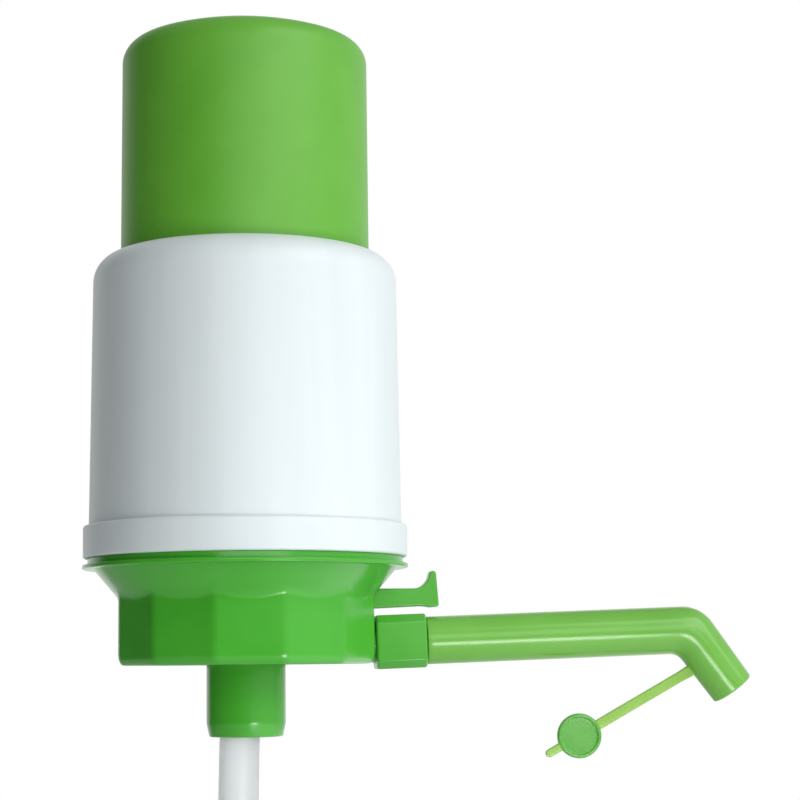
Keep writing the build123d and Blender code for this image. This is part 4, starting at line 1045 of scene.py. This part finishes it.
@dataclass
class SpoutTube:
    """The swivelling spout: spigot, straight run, elbow and tapered outlet leg."""

    line: SpoutLine
    start: float = 7.0
    tube_r: float = 6.35
    wall: float = 1.5
    outer_bend_r: float = 9.8
    inner_bend_r: float = 4.2
    leg_len: float = 19.8
    outlet_r: float = 6.0
    outlet_edge_r: float = 0.6
    spigot_r: float = 5.2
    spigot_len: float = 8.0
    groove_z: float = 4.0
    ring_r: float = 0.4
    inlet_ring_r: float = 3.9
    inlet_ring_along: float = -8.2
    columns: int = 72
    ring_columns: int = 24
    elbow_rows: int = 28
    run_rows: tuple[float, float, int] = (0.02, 0.93, 24)
    leg_rows: tuple[float, float, int] = (0.52, 1.0, 9)
    taper_from: float = 0.4
    bore_edge_r: float = 0.3
    # Radii of the spigot's corners, in the order of its outline.
    spigot_edges: tuple[float, ...] = (
        0.1, 0.05, 0.05, 0.1, 0.4, 0.05, 0.05, 0.05, 0.05, 0.1, 0.35, 0.1
    )

    def elbow(self, shrink: float) -> tuple[Array, Array]:
        """Work out the elbow's upper and under lines, both arcs that touch run and leg.

        At each turn the tube's ring spans from the upper line to the under line. Each line is
        centre - radius * normal, with the centre on the corner's bisector.

        Args:
            shrink: How far inside the outer surface the lines run.

        Returns:
            The upper and the under line, one point for each turn.
        """
        half = radians(self.line.turn_deg / 2)
        tube_r = self.tube_r - shrink
        first, last = under(self.line.along), under(self.line.leg)
        middle = unit(first + last)
        turn = np.linspace(0, 1, self.elbow_rows)[:, None] * 2 * half
        normal = (np.sin(2 * half - turn) * first + np.sin(turn) * last) / sin(2 * half)
        upper_r, under_r = self.outer_bend_r - shrink, self.inner_bend_r + shrink
        upper = self.line.corner + middle * ((upper_r - tube_r) / cos(half)) - upper_r * normal
        lower = self.line.corner + middle * ((under_r + tube_r) / cos(half)) - under_r * normal
        return upper, lower

    def rings(self, shrink: float, end_r: float) -> Array:
        """Work out the tube's rings from the shoulder to near the outlet.

        run_rows and leg_rows are shares of the run and the leg, and on the leg the radius goes in
        even steps from taper_from of its change to the end's.

        Args:
            shrink: How far inside the outer surface they run.
            end_r: Radius of the last ring, where the leg has tapered.

        Returns:
            The grid of points.
        """
        tube_r = self.tube_r - shrink
        upper, lower = self.elbow(shrink)
        line, start = self.line, np.array(self.line.at(self.start).origin)
        first, last = under(line.along), under(line.leg)
        run_len, leg_len = (line.corner - start) @ line.along, self.leg_len - self.outlet_edge_r
        run = start + line.along * np.linspace(*self.run_rows)[:, None] * run_len
        leg = line.corner + line.leg * np.linspace(*self.leg_rows)[:, None] * leg_len
        taper = tube_r + (end_r - tube_r) * np.linspace(self.taper_from, 1.0, len(leg))[:, None]
        upper = np.vstack([run - first * tube_r, upper, leg - last * taper])
        lower = np.vstack([run + first * tube_r, lower, leg + last * taper])
        width = np.concatenate([np.full(len(run) + self.elbow_rows, tube_r), taper[:, 0]])[:, None]
        return carried(circle(self.columns), (upper + lower) / 2, (lower - upper) / 2, width * SIDE)

    def seal(self, name: str, place: Place, centre: tuple[float, float], body: Body, node: str) -> None:
        """Make an o-ring: a circle of ring_r, turned.

        Args:
            name: The piece's name.
            place: The axis that it goes round.
            centre: The circle's centre, as radius and height.
            body: The body it rides on.
            node: The CAD node that it replaces.
        """
        skin = Skin()
        section = np.array(centre) + self.ring_r * circle(self.ring_columns)
        skin.ring(section, place, self.columns)
        skin.piece(name, SILICONE, body, node)

    def build(self) -> None:
        """Make the spout as one closed wall, and the two seals on its line."""
        bore_r, edge = self.tube_r - self.wall, self.outlet_edge_r
        outside = self.rings(0.0, self.outlet_r)
        inside = self.rings(self.wall, bore_r)[::-1]
        outlet = Place.on(self.line.corner + self.line.leg * self.leg_len, self.line.leg)
        inner_edge = self.bore_edge_r
        lip = np.vstack([
            arc((self.outlet_r - edge, -edge), edge, 10, 90, 7),
            arc((bore_r + inner_edge, -inner_edge), inner_edge, 90, 170, 4),
        ])
        root = self.line.at(self.start)
        spigot_bore_r, groove_r = self.spigot_r - self.wall, self.spigot_r - 2 * self.ring_r
        low, high = -self.groove_z - self.ring_r, -self.groove_z + self.ring_r
        spigot = rounded(
            [(bore_r, 0.5), (bore_r, 0.0), (spigot_bore_r, 0.0), (spigot_bore_r, -self.spigot_len),
             (self.spigot_r, -self.spigot_len), (self.spigot_r, low), (groove_r, low), (groove_r, high),
             (self.spigot_r, high), (self.spigot_r, 0.0), (self.tube_r, 0.0), (self.tube_r, 1.2)],
            self.spigot_edges, closed=False, steps=4,
        )[1:-1]
        skin = Skin()
        skin.add(np.vstack([
            root.turned(spigot, self.columns), outside, outlet.turned(lip, self.columns), inside
        ]))
        skin.piece("spout_tube_body", SPOUT_GREEN, Body.SPOUT, "spout_tube")
        swivel_ring = (self.spigot_r - self.ring_r, -self.groove_z)
        self.seal("spout_o_ring", root, swivel_ring, Body.SPOUT, "spout_seal")
        inlet = self.line.at(self.inlet_ring_along)
        self.seal("block_o_ring", inlet, (self.inlet_ring_r, 0.0), Body.BASE, "inlet_seal")


@dataclass
class DustCap:
    """The outlet's dust cap: rimmed disc, plug, pull tab, and the strap that ties it to the leg."""

    line: SpoutLine
    root_along_leg: float = 8.75
    root_off_leg: float = 8.025
    slope_deg: float = 29.0
    strap_len: float = 33.4
    strap_w: float = 2.75
    strap_h: float = 1.5
    disc_r: float = 5.95
    disc_h: float = 2.2
    rim_w: float = 0.95
    rim_out: float = 0.15
    rim_in: float = 0.25
    recess: float = 0.45
    plug_r: float = 4.79
    plug_len: float = 4.0
    plug_wall: float = 1.0
    tab_len: float = 4.4
    tab_w: float = 2.15
    stem: float = 1.0
    bury: float = 1.2
    strap_edge_r: float = 0.42
    root_back: float = 3.2
    root_swell: float = 0.12
    swell_back: float = 1.0
    swell_w: float = 1.6
    bend_len: float = 7.0
    tab_flare: tuple[float, float] = (1.1, 1.02)
    tip_power: float = 1.6
    tip_spread: float = 0.8
    tip_least: float = 0.02
    strap_rows: int = 48
    tip_rows: int = 12
    columns: int = 96
    # Radii of the disc's and plug's corners, in the order of their outline.
    disc_edges: tuple[float, ...] = (0.2, 0.2, 0.3, 0.45, 0.3, 0.55, 0.6, 0.3, 0.5, 0.2)

    @property
    def course(self) -> Array:
        """Direction from the strap's root to the disc."""
        return np.array([-cos(radians(self.slope_deg)), 0.0, -sin(radians(self.slope_deg))])

    @property
    def root(self) -> Array:
        """Centre of the strap's root, beside the outlet leg."""
        line = self.line
        return line.corner + line.leg * self.root_along_leg + under(line.leg) * self.root_off_leg

    def bar(self, skin: Skin, start: Array, stations: Array, width: Array) -> None:
        """Carry the strap's rounded section along its course.

        Args:
            skin: The mesh that takes it.
            start: Where the stations are counted from.
            stations: Distances along the course.
            width: The section's width at each station.
        """
        full, half_h = [self.strap_w, 1.0], self.strap_h / 2
        corners = np.array(box((-0.5, 0.5), (-half_h, half_h)))
        section = rounded(corners * full, self.strap_edge_r) / full
        wide = section * np.stack([width, np.ones_like(width)], -1)[:, None]
        skin.rod(carried(wide, start + stations[:, None] * self.course, under(self.course), SIDE))

    def build(self) -> None:
        """Make the disc with its plug, the stem and tab, then the strap.

        The tab's width falls as the root of 1 - t^tip_power towards its tip, and the strap's swells
        by a bell curve beside the leg.
        """
        centre = self.root + self.course * self.strap_len
        half, dip = self.disc_h / 2, self.disc_h / 2 - self.recess
        flat_r, plug_bore_r = self.disc_r - self.rim_w, self.plug_r - self.plug_wall
        outline = rounded(
            [(0.0, -half), (plug_bore_r, -half), (plug_bore_r, -half - self.plug_len),
             (self.plug_r, -half - self.plug_len), (self.plug_r, -half), (self.disc_r, -half),
             (self.disc_r, half), (flat_r + self.rim_out, half), (flat_r - self.rim_in, dip),
             (0.0, dip)],
            self.disc_edges, closed=False, steps=7,
        )
        disc, thin, strap = Skin(), Skin(), Skin()
        disc.dome(outline, FACING.moved(centre), self.columns)
        behind = np.linspace(-self.disc_r - self.stem, -self.disc_r + self.bury, 6)
        self.bar(thin, centre, behind, np.full(len(behind), self.strap_w))
        tip = np.linspace(0, 1, self.tip_rows)
        tip_at = self.disc_r + self.tab_len - self.tab_w / 2 * (1 - tip**self.tip_spread)
        tab = np.concatenate([[self.disc_r - self.bury, self.disc_r + self.stem], tip_at])
        tip_w = np.sqrt(np.clip(1 - tip**self.tip_power, self.tip_least, 1))
        self.bar(thin, centre, tab, self.tab_w * np.concatenate([self.tab_flare, tip_w]))
        disc.piece("dust_cap_disc", DISC_GREEN, Body.DUST_CAP, "dust_cap")
        thin.piece("dust_cap_stem_and_tab", STRAP_GREEN, Body.DUST_CAP)
        strap_end = self.strap_len - self.disc_r - self.stem
        stations = np.linspace(-self.root_back, strap_end, self.strap_rows)
        swell = self.root_swell * np.exp(-((stations + self.swell_back) / self.swell_w) ** 2)
        self.bar(strap, self.root, stations, self.strap_w * (1 + swell))
        made = strap.piece("dust_cap_strap_band", STRAP_GREEN, None, "dust_cap_strap")
        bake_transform(made)


@dataclass
class ReleaseLever:
    """The thumb lever that opens the air valve, with its pivot hub and fork."""

    half_w: float = 3.0
    edge_r: float = 0.45
    pivot: Point = (30.6, 0.0, 7.0)
    hub_r: float = 2.3
    fork_x: float = 18.2
    arm_x: float = 21.6
    arm_z: tuple[float, float] = (7.0, 8.8)
    fork_half_gap: float = 0.82
    fork_join: float = 0.4
    small_edge_r: float = 0.2
    columns: int = 72
    # The outline's other corners, as x, z and radius: under the arm, hub and grip, then the tip.
    corners: tuple[Point, ...] = (
        (26.0, 7.0, 0.3), (28.3, 4.8, 0.3), (31.8, 4.4, 0.3), (33.2, 3.5, 0.3), (46.6, 4.1, 3.0),
        (49.2, 3.75, 1.5), (51.3, 3.95, 0.7), (50.55, 13.4, 0.8), (48.95, 13.4, 0.7), (48.3, 8.78, 4.4),
    )
    valve_pad: Pipe = Pipe(2.8, 0.82, 5.0, 5.8, 0.15, centre=(20.4, 0.0))

    def build(self) -> None:
        """Make the lever's outline thick, then the hub, the fork's two prongs and the valve's pad."""
        low, high = self.arm_z
        edge_r = self.small_edge_r
        body = np.array([(self.arm_x, low, edge_r), *self.corners, (self.arm_x, high, edge_r)])
        skin = Skin()
        body = rounded(body[:, :2], body[:, 2], steps=7)
        skin.slab(body, FACING, -self.half_w, self.half_w, self.edge_r)
        hub = box((0, self.hub_r), (-self.half_w, self.half_w))
        hub = rounded(hub, edge_r, closed=False, steps=5)
        skin.dome(hub, FACING.moved(self.pivot), self.columns)
        prong = rounded(box((self.fork_x, self.arm_x + self.fork_join), self.arm_z), 0.3, steps=4)
        for near in (-self.half_w, self.fork_half_gap):
            skin.slab(prong, FACING, near, near + self.half_w - self.fork_half_gap, edge_r)
        skin.piece("release_lever_body", BLOCK_GREEN, Body.LEVER, "release_lever")
        pad = Skin()
        pad.pipe(self.valve_pad)
        pad.piece("air_valve_pad", SILICONE, Body.LEVER, "release_valve_seal")


@dataclass
class DipTube:
    """The dip tube in three lengths with two sleeves between them."""

    tube_r: float = 5.3
    bore_r: float = 4.15
    length: float = 155.0
    top_z: float = 0.5
    straight: float = 12.0
    shift: float = 1.75
    mouth_z: float = -30.1
    lean_deg: float = 1.2
    bend_r: float = 100.0
    sleeve_len: float = 24.0
    sleeve_wall: float = 1.2
    stop_h: float = 1.6
    notch_h: float = 4.0
    notch_w: float = 3.0
    notch_edge: float = 0.12
    lip: float = 0.25
    lip_share: float = 0.06
    grip_gap: float = 0.02
    rows: int = 12
    columns: int = 72
    foot_columns: int = 144
    # Radii of a sleeve's corners, in the order of its outline.
    sleeve_edges: tuple[float, ...] = (0.3, 0.5, 0.5, 0.3, 0.1, 0.2, 0.2, 0.1)

    @property
    def axis(self) -> Array:
        """Direction of the leaning lengths."""
        return np.array([-sin(radians(self.lean_deg)), 0.0, -cos(radians(self.lean_deg))])

    def upper(self) -> Array:
        """Build the bent length: two arcs of bend_r join its three runs, and rings carry the wall.

        Returns:
            Where it ends.
        """
        mouth = np.array([-self.shift, 0.0, self.mouth_z])
        entry, knee = np.array([0.0, 0.0, self.top_z]), np.array([0.0, 0.0, self.top_z - self.straight])
        end = mouth + self.axis * (self.length - np.linalg.norm(entry - mouth))
        flat = rounded(np.stack([entry, knee, mouth, end])[:, ::2], self.bend_r, closed=False, steps=10)
        path = np.stack([flat[:, 0], 0 * flat[:, 0], flat[:, 1]], -1)
        normal = under(unit(np.gradient(path, axis=0)))
        self.walled("dip_tube_top_length", path, normal, "dip_tube_upper")
        return end

    def walled(
        self, name: str, path: Array, normal: Array, node: str, foot: Array | None = None
    ) -> None:
        """Make a tube's wall along a path: rings outwards, back inside, with rounded lips.

        Args:
            name: The piece's name.
            path: (n, 3) centre line.
            normal: (n, 3) directions across it.
            node: The CAD node that it replaces.
            foot: How far each column of the last ring is drawn back, for the foot's notches.
        """
        ring = circle(self.columns if foot is None else len(foot))
        course = np.cross(normal, SIDE)
        outer, inner = (carried(ring * r, path, normal, SIDE) for r in (self.tube_r, self.bore_r))
        first, last = (
            outer[end] * (1 - self.lip_share) + inner[end] * self.lip_share
            for end in (slice(None, 1), slice(-1, None))
        )
        outer[0] += course[0] * self.lip
        outer[-1] -= course[-1] * self.lip
        if foot is not None:
            for ring in (outer[-1], inner[-1], last[0]):
                ring -= foot[:, None] * course[-1]
        skin = Skin()
        skin.add(np.concatenate([first, outer, last, inner[::-1]]))
        skin.piece(name, MILKY, Body.BASE, node)

    def sleeve(self, name: str, centre: Array, node: str) -> None:
        """Make one sleeve: a turned wall with the stop between the two tubes inside it.

        Args:
            name: The piece's name.
            centre: The sleeve's middle.
            node: The CAD node that it replaces.
        """
        half, stop = self.sleeve_len / 2, self.stop_h / 2
        grip, out = self.tube_r + self.grip_gap, self.tube_r + self.sleeve_wall
        outline = rounded(
            [(grip, -half), (out, -half), (out, half), (grip, half), (grip, stop), (self.bore_r, stop),
             (self.bore_r, -stop), (grip, -stop)],
            self.sleeve_edges, steps=5,
        )
        skin = Skin()
        skin.ring(outline, Place.on(centre, self.axis), self.columns)
        skin.piece(name, MILKY, Body.BASE, node)

    def build(self) -> None:
        """Make the three lengths and two sleeves, each length starting a stop beyond the last.

        The foot's notches are deepest within half their width of each quarter turn.
        """
        joint = self.upper() + self.axis * self.stop_h / 2
        self.sleeve("dip_tube_upper_sleeve", joint, "tube_coupler_upper")
        start = joint + self.axis * self.stop_h / 2
        stations = np.linspace(0, self.length, self.rows)[:, None] * self.axis
        across = np.broadcast_to(under(self.axis), stations.shape)
        self.walled("dip_tube_middle_length", start + stations, across, "dip_tube_middle")
        joint = start + self.axis * (self.length + self.stop_h / 2)
        self.sleeve("dip_tube_lower_sleeve", joint, "tube_coupler_lower")
        start = joint + self.axis * self.stop_h / 2
        turn = np.arange(self.foot_columns) * 2 * pi / self.foot_columns
        away = np.abs((turn + pi / 4) % (pi / 2) - pi / 4) * self.tube_r
        inside = (self.notch_w / 2 + self.notch_edge - away) / self.notch_edge
        foot = self.notch_h * np.clip(inside, 0, 1)
        self.walled("dip_tube_bottom_length", start + stations, across, "dip_tube_lower", foot)


@dataclass
class Coil:
    """A compression spring of round wire, with closed end turns."""

    name: str
    node: str
    centre_x: float
    coil_r: float
    wire_r: float
    low_z: float
    high_z: float
    turns: float
    joint: str
    anchor_z: float
    keep: float
    end_turns: float = 0.9
    end_pitch: float = 0.12
    rows_per_turn: int = 40
    columns: int = 14

    def build(self) -> None:
        """Make the coil: rings square to a helix whose pitch fades out over each end turn.

        The pitch is p * p * (3 - 2 p) + end_pitch, with p rising from 0 to 1 over the first
        end_turns and falling back over the last, and the height is its running sum, scaled to
        the coil's length.
        """
        share = np.linspace(0, 1, int(self.turns * self.rows_per_turn))
        turn = share * self.turns * 2 * pi
        edge = self.end_turns / self.turns
        pitch = np.clip(share / edge, 0, 1) * np.clip((1 - share) / edge, 0, 1)
        pitch = pitch * pitch * (3 - 2 * pitch) + self.end_pitch
        climb = np.concatenate([[0.0], np.cumsum((pitch[1:] + pitch[:-1]) / 2)])
        low, high = self.low_z + self.wire_r, self.high_z - self.wire_r
        height = low + (high - low) * climb / climb[-1]
        radial = np.stack([np.cos(turn), np.sin(turn), 0 * turn], -1)
        path = radial * self.coil_r + np.stack([0 * turn + self.centre_x, 0 * turn, height], -1)
        course = unit(np.gradient(path, axis=0))
        skin = Skin()
        skin.rod(carried(circle(self.columns) * self.wire_r, path, radial, np.cross(course, radial)))
        made = skin.piece(self.name, STEEL, Body.BASE, self.node)
        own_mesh(made)


@dataclass
class BellowsUnit:
    """What the cap works on: the bellows, its spring, and the rubber discs and rings."""

    low_z: float = 31.2
    high_z: float = 148.0
    fold_r: float = 28.5
    root_r: float = 22.0
    wall: float = 1.3
    folds: int = 10
    cuff_r: float = 24.3
    cuff_wall: float = 2.0
    cuff_low_z: float = 29.0
    cuff_high_z: float = 150.2
    lip_h: float = 1.5
    inner_lip_h: float = 0.3
    fold_edge_r: float = 0.45
    columns: int = 120
    stroke: float = 50.0
    # Each rubber disc and ring: its name, CAD node and body, and its sizes.
    seals: tuple[tuple[str, str, Body, Pipe], ...] = (
        ("neck_seal_ring", "neck_seal", Body.BASE, Pipe(27.9, 22.8, 0.0, 2.0, 0.25)),
        ("air_way_gasket", "air_gasket", Body.BASE, Pipe(15.7, 14.0, 6.8, 8.2, 0.25)),
        ("outlet_check_disc", "outlet_valve_disc", Body.OUTLET_VALVE, Pipe(9.6, 1.56, 25.0, 26.2, 0.25)),
        ("inlet_check_disc", "inlet_valve_disc", Body.INLET_VALVE, Pipe(9.6, 1.56, 146.8, 148.0, 0.25)),
    )

    def outline(self) -> Array:
        """Work out the bellows' wall: a zigzag of folds with round crests and roots, and two cuffs.

        Returns:
            The closed outline's (radius, z) rows.
        """
        low, high = self.low_z + self.lip_h, self.high_z - self.lip_h
        fold_h = (high - low) / self.folds
        steps = np.arange(2 * self.folds + 1)
        z = low + steps * fold_h / 2
        inner = np.stack([np.where(steps % 2, self.fold_r - self.wall, self.root_r), z], -1)
        outer = (inner + [self.wall, 0.0])[1:-1]
        out, cuff = self.cuff_r + self.cuff_wall, self.cuff_r
        low_lip, high_lip = self.low_z + self.inner_lip_h, self.high_z - self.inner_lip_h
        corners = np.vstack([
            [(cuff, self.cuff_low_z), (out, self.cuff_low_z), (out, low)],
            outer,
            [(out, high), (out, self.cuff_high_z), (cuff, self.cuff_high_z), (cuff, high_lip),
             (self.root_r, high_lip)],
            inner[::-1][1:-1],
            [(self.root_r, low_lip), (cuff, low_lip)],
        ])
        return rounded(corners, self.fold_edge_r, steps=5)

    def build(self) -> None:
        """Make the bellows and every seal."""
        skin = Skin()
        skin.ring(self.outline(), columns=self.columns)
        made = skin.piece("bellows_skin", BLOWN, Body.BASE, "bellows")
        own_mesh(made)
        for name, node, body, sizes in self.seals:
            seal = Skin()
            seal.pipe(sizes)
            seal.piece(name, SILICONE, body, node)


# ---------------------------------------------------------------- studio


@dataclass(frozen=True)
class SoftBox:
    """One soft box: watts, and in metres its width and height, where it hangs and what it faces."""

    name: str
    watts: float
    size: tuple[float, float]
    at: Point
    to: Point


@dataclass(frozen=True)
class Ramp:
    """A smooth step along one axis: how far along it starts and ends, and its two levels."""

    axis: str
    start: float
    end: float
    low: float = 0.0
    high: float = 1.0

    def settings(self) -> dict[str, str | float]:
        """The step as a Map Range node's settings."""
        return {
            "interpolation_type": "SMOOTHSTEP", "From Min": self.start, "From Max": self.end,
            "To Min": self.low, "To Max": self.high,
        }


@dataclass
class Studio:
    """Pale floor, soft light from the front right, and the camera of the photograph."""

    lens_mm: float = 101.7
    sensor_mm: float = 36.0
    camera_mm: Point = (-21.1, -603.2, -12.35)
    heading_deg: float = 5.94
    pitch_deg: float = 6.77
    roll_deg: float = 0.58
    floor_mm: float = 1500.0
    floor_gap: float = 0.1
    floor_lines: int = 9
    camera_white: float = 0.25
    boxes: tuple[SoftBox, ...] = (
        SoftBox("key", 7.8, (1.1, 0.9), (0.8, -0.8, 0.85), (0.0, 0.0, 0.04)),
        SoftBox("front_wash", 6.0, (1.5, 0.6), (0.1, -1.6, 0.45), (0.0, 0.0, 0.05)),
        SoftBox("low_box", 0.3, (0.12, 0.07), (0.12, -0.3, -0.113), (0.03, 0.0, 0.0)),
    )
    behind: Ramp = Ramp("Y", 0.55, 0.97)
    right: Ramp = Ramp("X", 0.0, 0.9, 0.05, 0.8)
    above: Ramp = Ramp("Z", 0.25, 1.0, 0.0, 0.45)
    backdrop: Ramp = Ramp("Y", 0.55, 0.92)
    # Painted reflection: the floor glows white in reflections, rising from the middle towards the soft
    # boxes' side.
    painted_floor_glow: Ramp = Ramp("X", 0.0, 0.5)

    def camera(self) -> None:
        """Stand the camera where the photograph was taken from, turned by heading, pitch and roll."""
        data = bpy.data.cameras.new("camera")
        data.lens, data.sensor_width, data.sensor_fit = self.lens_mm, self.sensor_mm, "HORIZONTAL"
        data.clip_start, data.clip_end = 0.01, 20
        h, p, r = radians(self.heading_deg), radians(self.pitch_deg), radians(self.roll_deg)
        ahead = Vector((sin(h) * cos(p), cos(h) * cos(p), sin(p)))
        level = Vector((cos(h), -sin(h), 0.0))
        up = level.cross(ahead)
        right, top = level * cos(r) - up * sin(r), level * sin(r) + up * cos(r)
        place = Matrix((right, top, -ahead)).transposed().to_4x4()
        place.translation = Vector(self.camera_mm) * MM
        stand = bpy.data.objects.new("camera", data)
        stand.matrix_world = place
        bpy.context.scene.collection.objects.link(stand)
        bpy.context.scene.camera = stand

    def lamps(self) -> None:
        """Hang the soft boxes, each facing its point and hidden from the camera."""
        for box in self.boxes:
            light = bpy.data.lights.new(box.name, "AREA")
            light.shape, light.size, light.size_y, light.energy = "RECTANGLE", *box.size, box.watts
            made = bpy.data.objects.new(box.name, light)
            made.location = box.at
            made.rotation_euler = (Vector(box.to) - Vector(box.at)).to_track_quat("-Z", "Y").to_euler()
            made.visible_camera = False
            bpy.context.scene.collection.objects.link(made)

    def world(self) -> None:
        """Surround the scene: white for the camera, and for the object's light a soft room.

        The room is bright behind the object and to its right, paler above, and dim at the front
        left, as the backdrop and the soft boxes leave it. A direction's level is the largest of
        three smooth ramps. Glossy rays find the white backdrop behind the object.
        """
        world = bpy.data.worlds.new("studio")
        world.use_nodes = True
        tree = world.node_tree
        tree.nodes.clear()
        way = add_node(tree, "ShaderNodeTexCoord", {})
        parts = add_node(tree, "ShaderNodeSeparateXYZ", {}, Vector=way.outputs["Generated"])
        level, right, above, backdrop = (
            add_node(tree, "ShaderNodeMapRange", ramp.settings(), Value=parts.outputs[ramp.axis])
            for ramp in (self.behind, self.right, self.above, self.backdrop)
        )
        ray = add_node(tree, "ShaderNodeLightPath", {})
        mirrored = add_node(
            tree, "ShaderNodeMath", {"operation": "MULTIPLY"}, in_0=ray.outputs["Is Glossy Ray"],
            in_1=backdrop,
        )
        for other in (right, above):
            level = add_node(tree, "ShaderNodeMath", {"operation": "MAXIMUM"}, in_0=level, in_1=other)
        seen = ray.outputs["Is Camera Ray"]
        for other in (ray.outputs["Is Transmission Ray"], mirrored):
            seen = add_node(tree, "ShaderNodeMath", {"operation": "MAXIMUM"}, in_0=seen, in_1=other)
        room = add_node(tree, "ShaderNodeBackground", {"Color": linear("FFFFFF")}, Strength=level)
        white = add_node(tree, "ShaderNodeBackground", {"Color": linear("FFFFFF")})
        mixed = add_node(tree, "ShaderNodeMixShader", {}, Fac=seen, in_1=room, in_2=white)
        add_node(tree, "ShaderNodeOutputWorld", {}, Surface=mixed)
        bpy.context.scene.world = world

    def floor(self) -> None:
        """Lay a plain pale floor under the lowest point of the object."""
        low = CAD_BOX[0][2] / MM - self.floor_gap
        x, y = np.meshgrid(*[np.linspace(-self.floor_mm, self.floor_mm, self.floor_lines)] * 2)
        index = np.arange(x.size).reshape(x.shape)
        quads = np.stack([index[:-1, :-1], index[:-1, 1:], index[1:, 1:], index[1:, :-1]], -1)
        mesh = bpy.data.meshes.new("floor")
        points = np.stack([x, y, 0 * x + low], -1).reshape(-1, 3) * MM
        mesh.from_pydata(points, [], quads.reshape(-1, 4).tolist())
        mesh.materials.append(self.paper())
        made = bpy.data.objects.new("floor", mesh)
        bpy.context.scene.collection.objects.link(made)

    def paper(self) -> bpy.types.Material:
        """Make the floor's matt white paper, which also shows some of its white to the camera.

        Camera rays get camera_white on top of the paper's own light, so that the floor is pale and
        keeps the shadow. Glossy rays get a painted reflection: the floor glows white in reflections on
        the side of the soft boxes, in place of the light that falls on the floor there.

        Returns:
            The material.
        """
        paper = Finish("floor_paper", "", "F6F6F6", "F4F4F4", 0.9, 1.45, 2.0, 0.01, tone_mm=60.0)
        made = paper.material()
        tree = made.node_tree
        shader = next(node for node in tree.nodes if node.type == "BSDF_PRINCIPLED")
        out = next(node for node in tree.nodes if node.type == "OUTPUT_MATERIAL")
        place = add_node(tree, "ShaderNodeTexCoord", {})
        parts = add_node(tree, "ShaderNodeSeparateXYZ", {}, Vector=place.outputs["Object"])
        # Painted reflection of a lit floor: a white glow for glossy rays, on the soft boxes' side only.
        ramp = self.painted_floor_glow
        painted_glow_side = add_node(tree, "ShaderNodeMapRange", ramp.settings(), Value=parts.outputs[ramp.axis])
        ray = add_node(tree, "ShaderNodeLightPath", {})
        mirrored = add_node(
            tree, "ShaderNodeMath", {"operation": "MULTIPLY"}, in_0=ray.outputs["Is Glossy Ray"],
            in_1=painted_glow_side,
        )
        level = add_node(
            tree, "ShaderNodeMath", {"operation": "MULTIPLY_ADD", 1: self.camera_white},
            in_0=ray.outputs["Is Camera Ray"], in_2=mirrored,
        )
        white = add_node(tree, "ShaderNodeEmission", {"Color": linear("FFFFFF")}, Strength=level)
        both = add_node(tree, "ShaderNodeAddShader", {}, in_0=shader, in_1=white)
        tree.links.new(both.outputs["Shader"], out.inputs["Surface"])
        return made

    def build(self) -> None:
        """Set up camera, world, lamps and floor."""
        self.camera()
        self.world()
        self.lamps()
        self.floor()
        bpy.context.scene.view_settings.view_transform = "Standard"


def dress_frame_nodes() -> None:
    """Give every CAD node that still shows the finish of its own material slot."""
    slots = {part["node"]: part["material_slot"] for part in frame["record"]["subparts"]}
    for name, node in frame["nodes"].items():
        node.data.materials.clear()
        node.data.materials.append(FINISH_OF_SLOT[slots[name]].material())


def main() -> None:
    """Build the studio and each sub-assembly in order, and report each piece."""
    logging.basicConfig(level=logging.INFO, format="%(name)s: %(message)s")
    Studio().build()
    line = SpoutLine()
    PushCap().build()
    OuterCover().build()
    BaseMoulding().build()
    SpoutBlock(line).build()
    SpoutTube(line).build()
    DustCap(line).build()
    ReleaseLever().build()
    DipTube().build()
    BellowsUnit().build()
    Coil(
        "return_spring_coil", "return_spring", centre_x=0.0, coil_r=14.0, wire_r=0.9, low_z=31.2,
        high_z=148.0, turns=11, joint="cap_press", anchor_z=31.2, keep=0.572,
    ).build()
    Coil(
        "air_valve_coil", "release_valve_spring", centre_x=20.4, coil_r=1.75, wire_r=0.25, low_z=9.8,
        high_z=19.8, turns=6, joint="lever_press", anchor_z=19.8, keep=0.938,
    ).build()
    dress_frame_nodes()


if __name__ == "__main__":
    main()
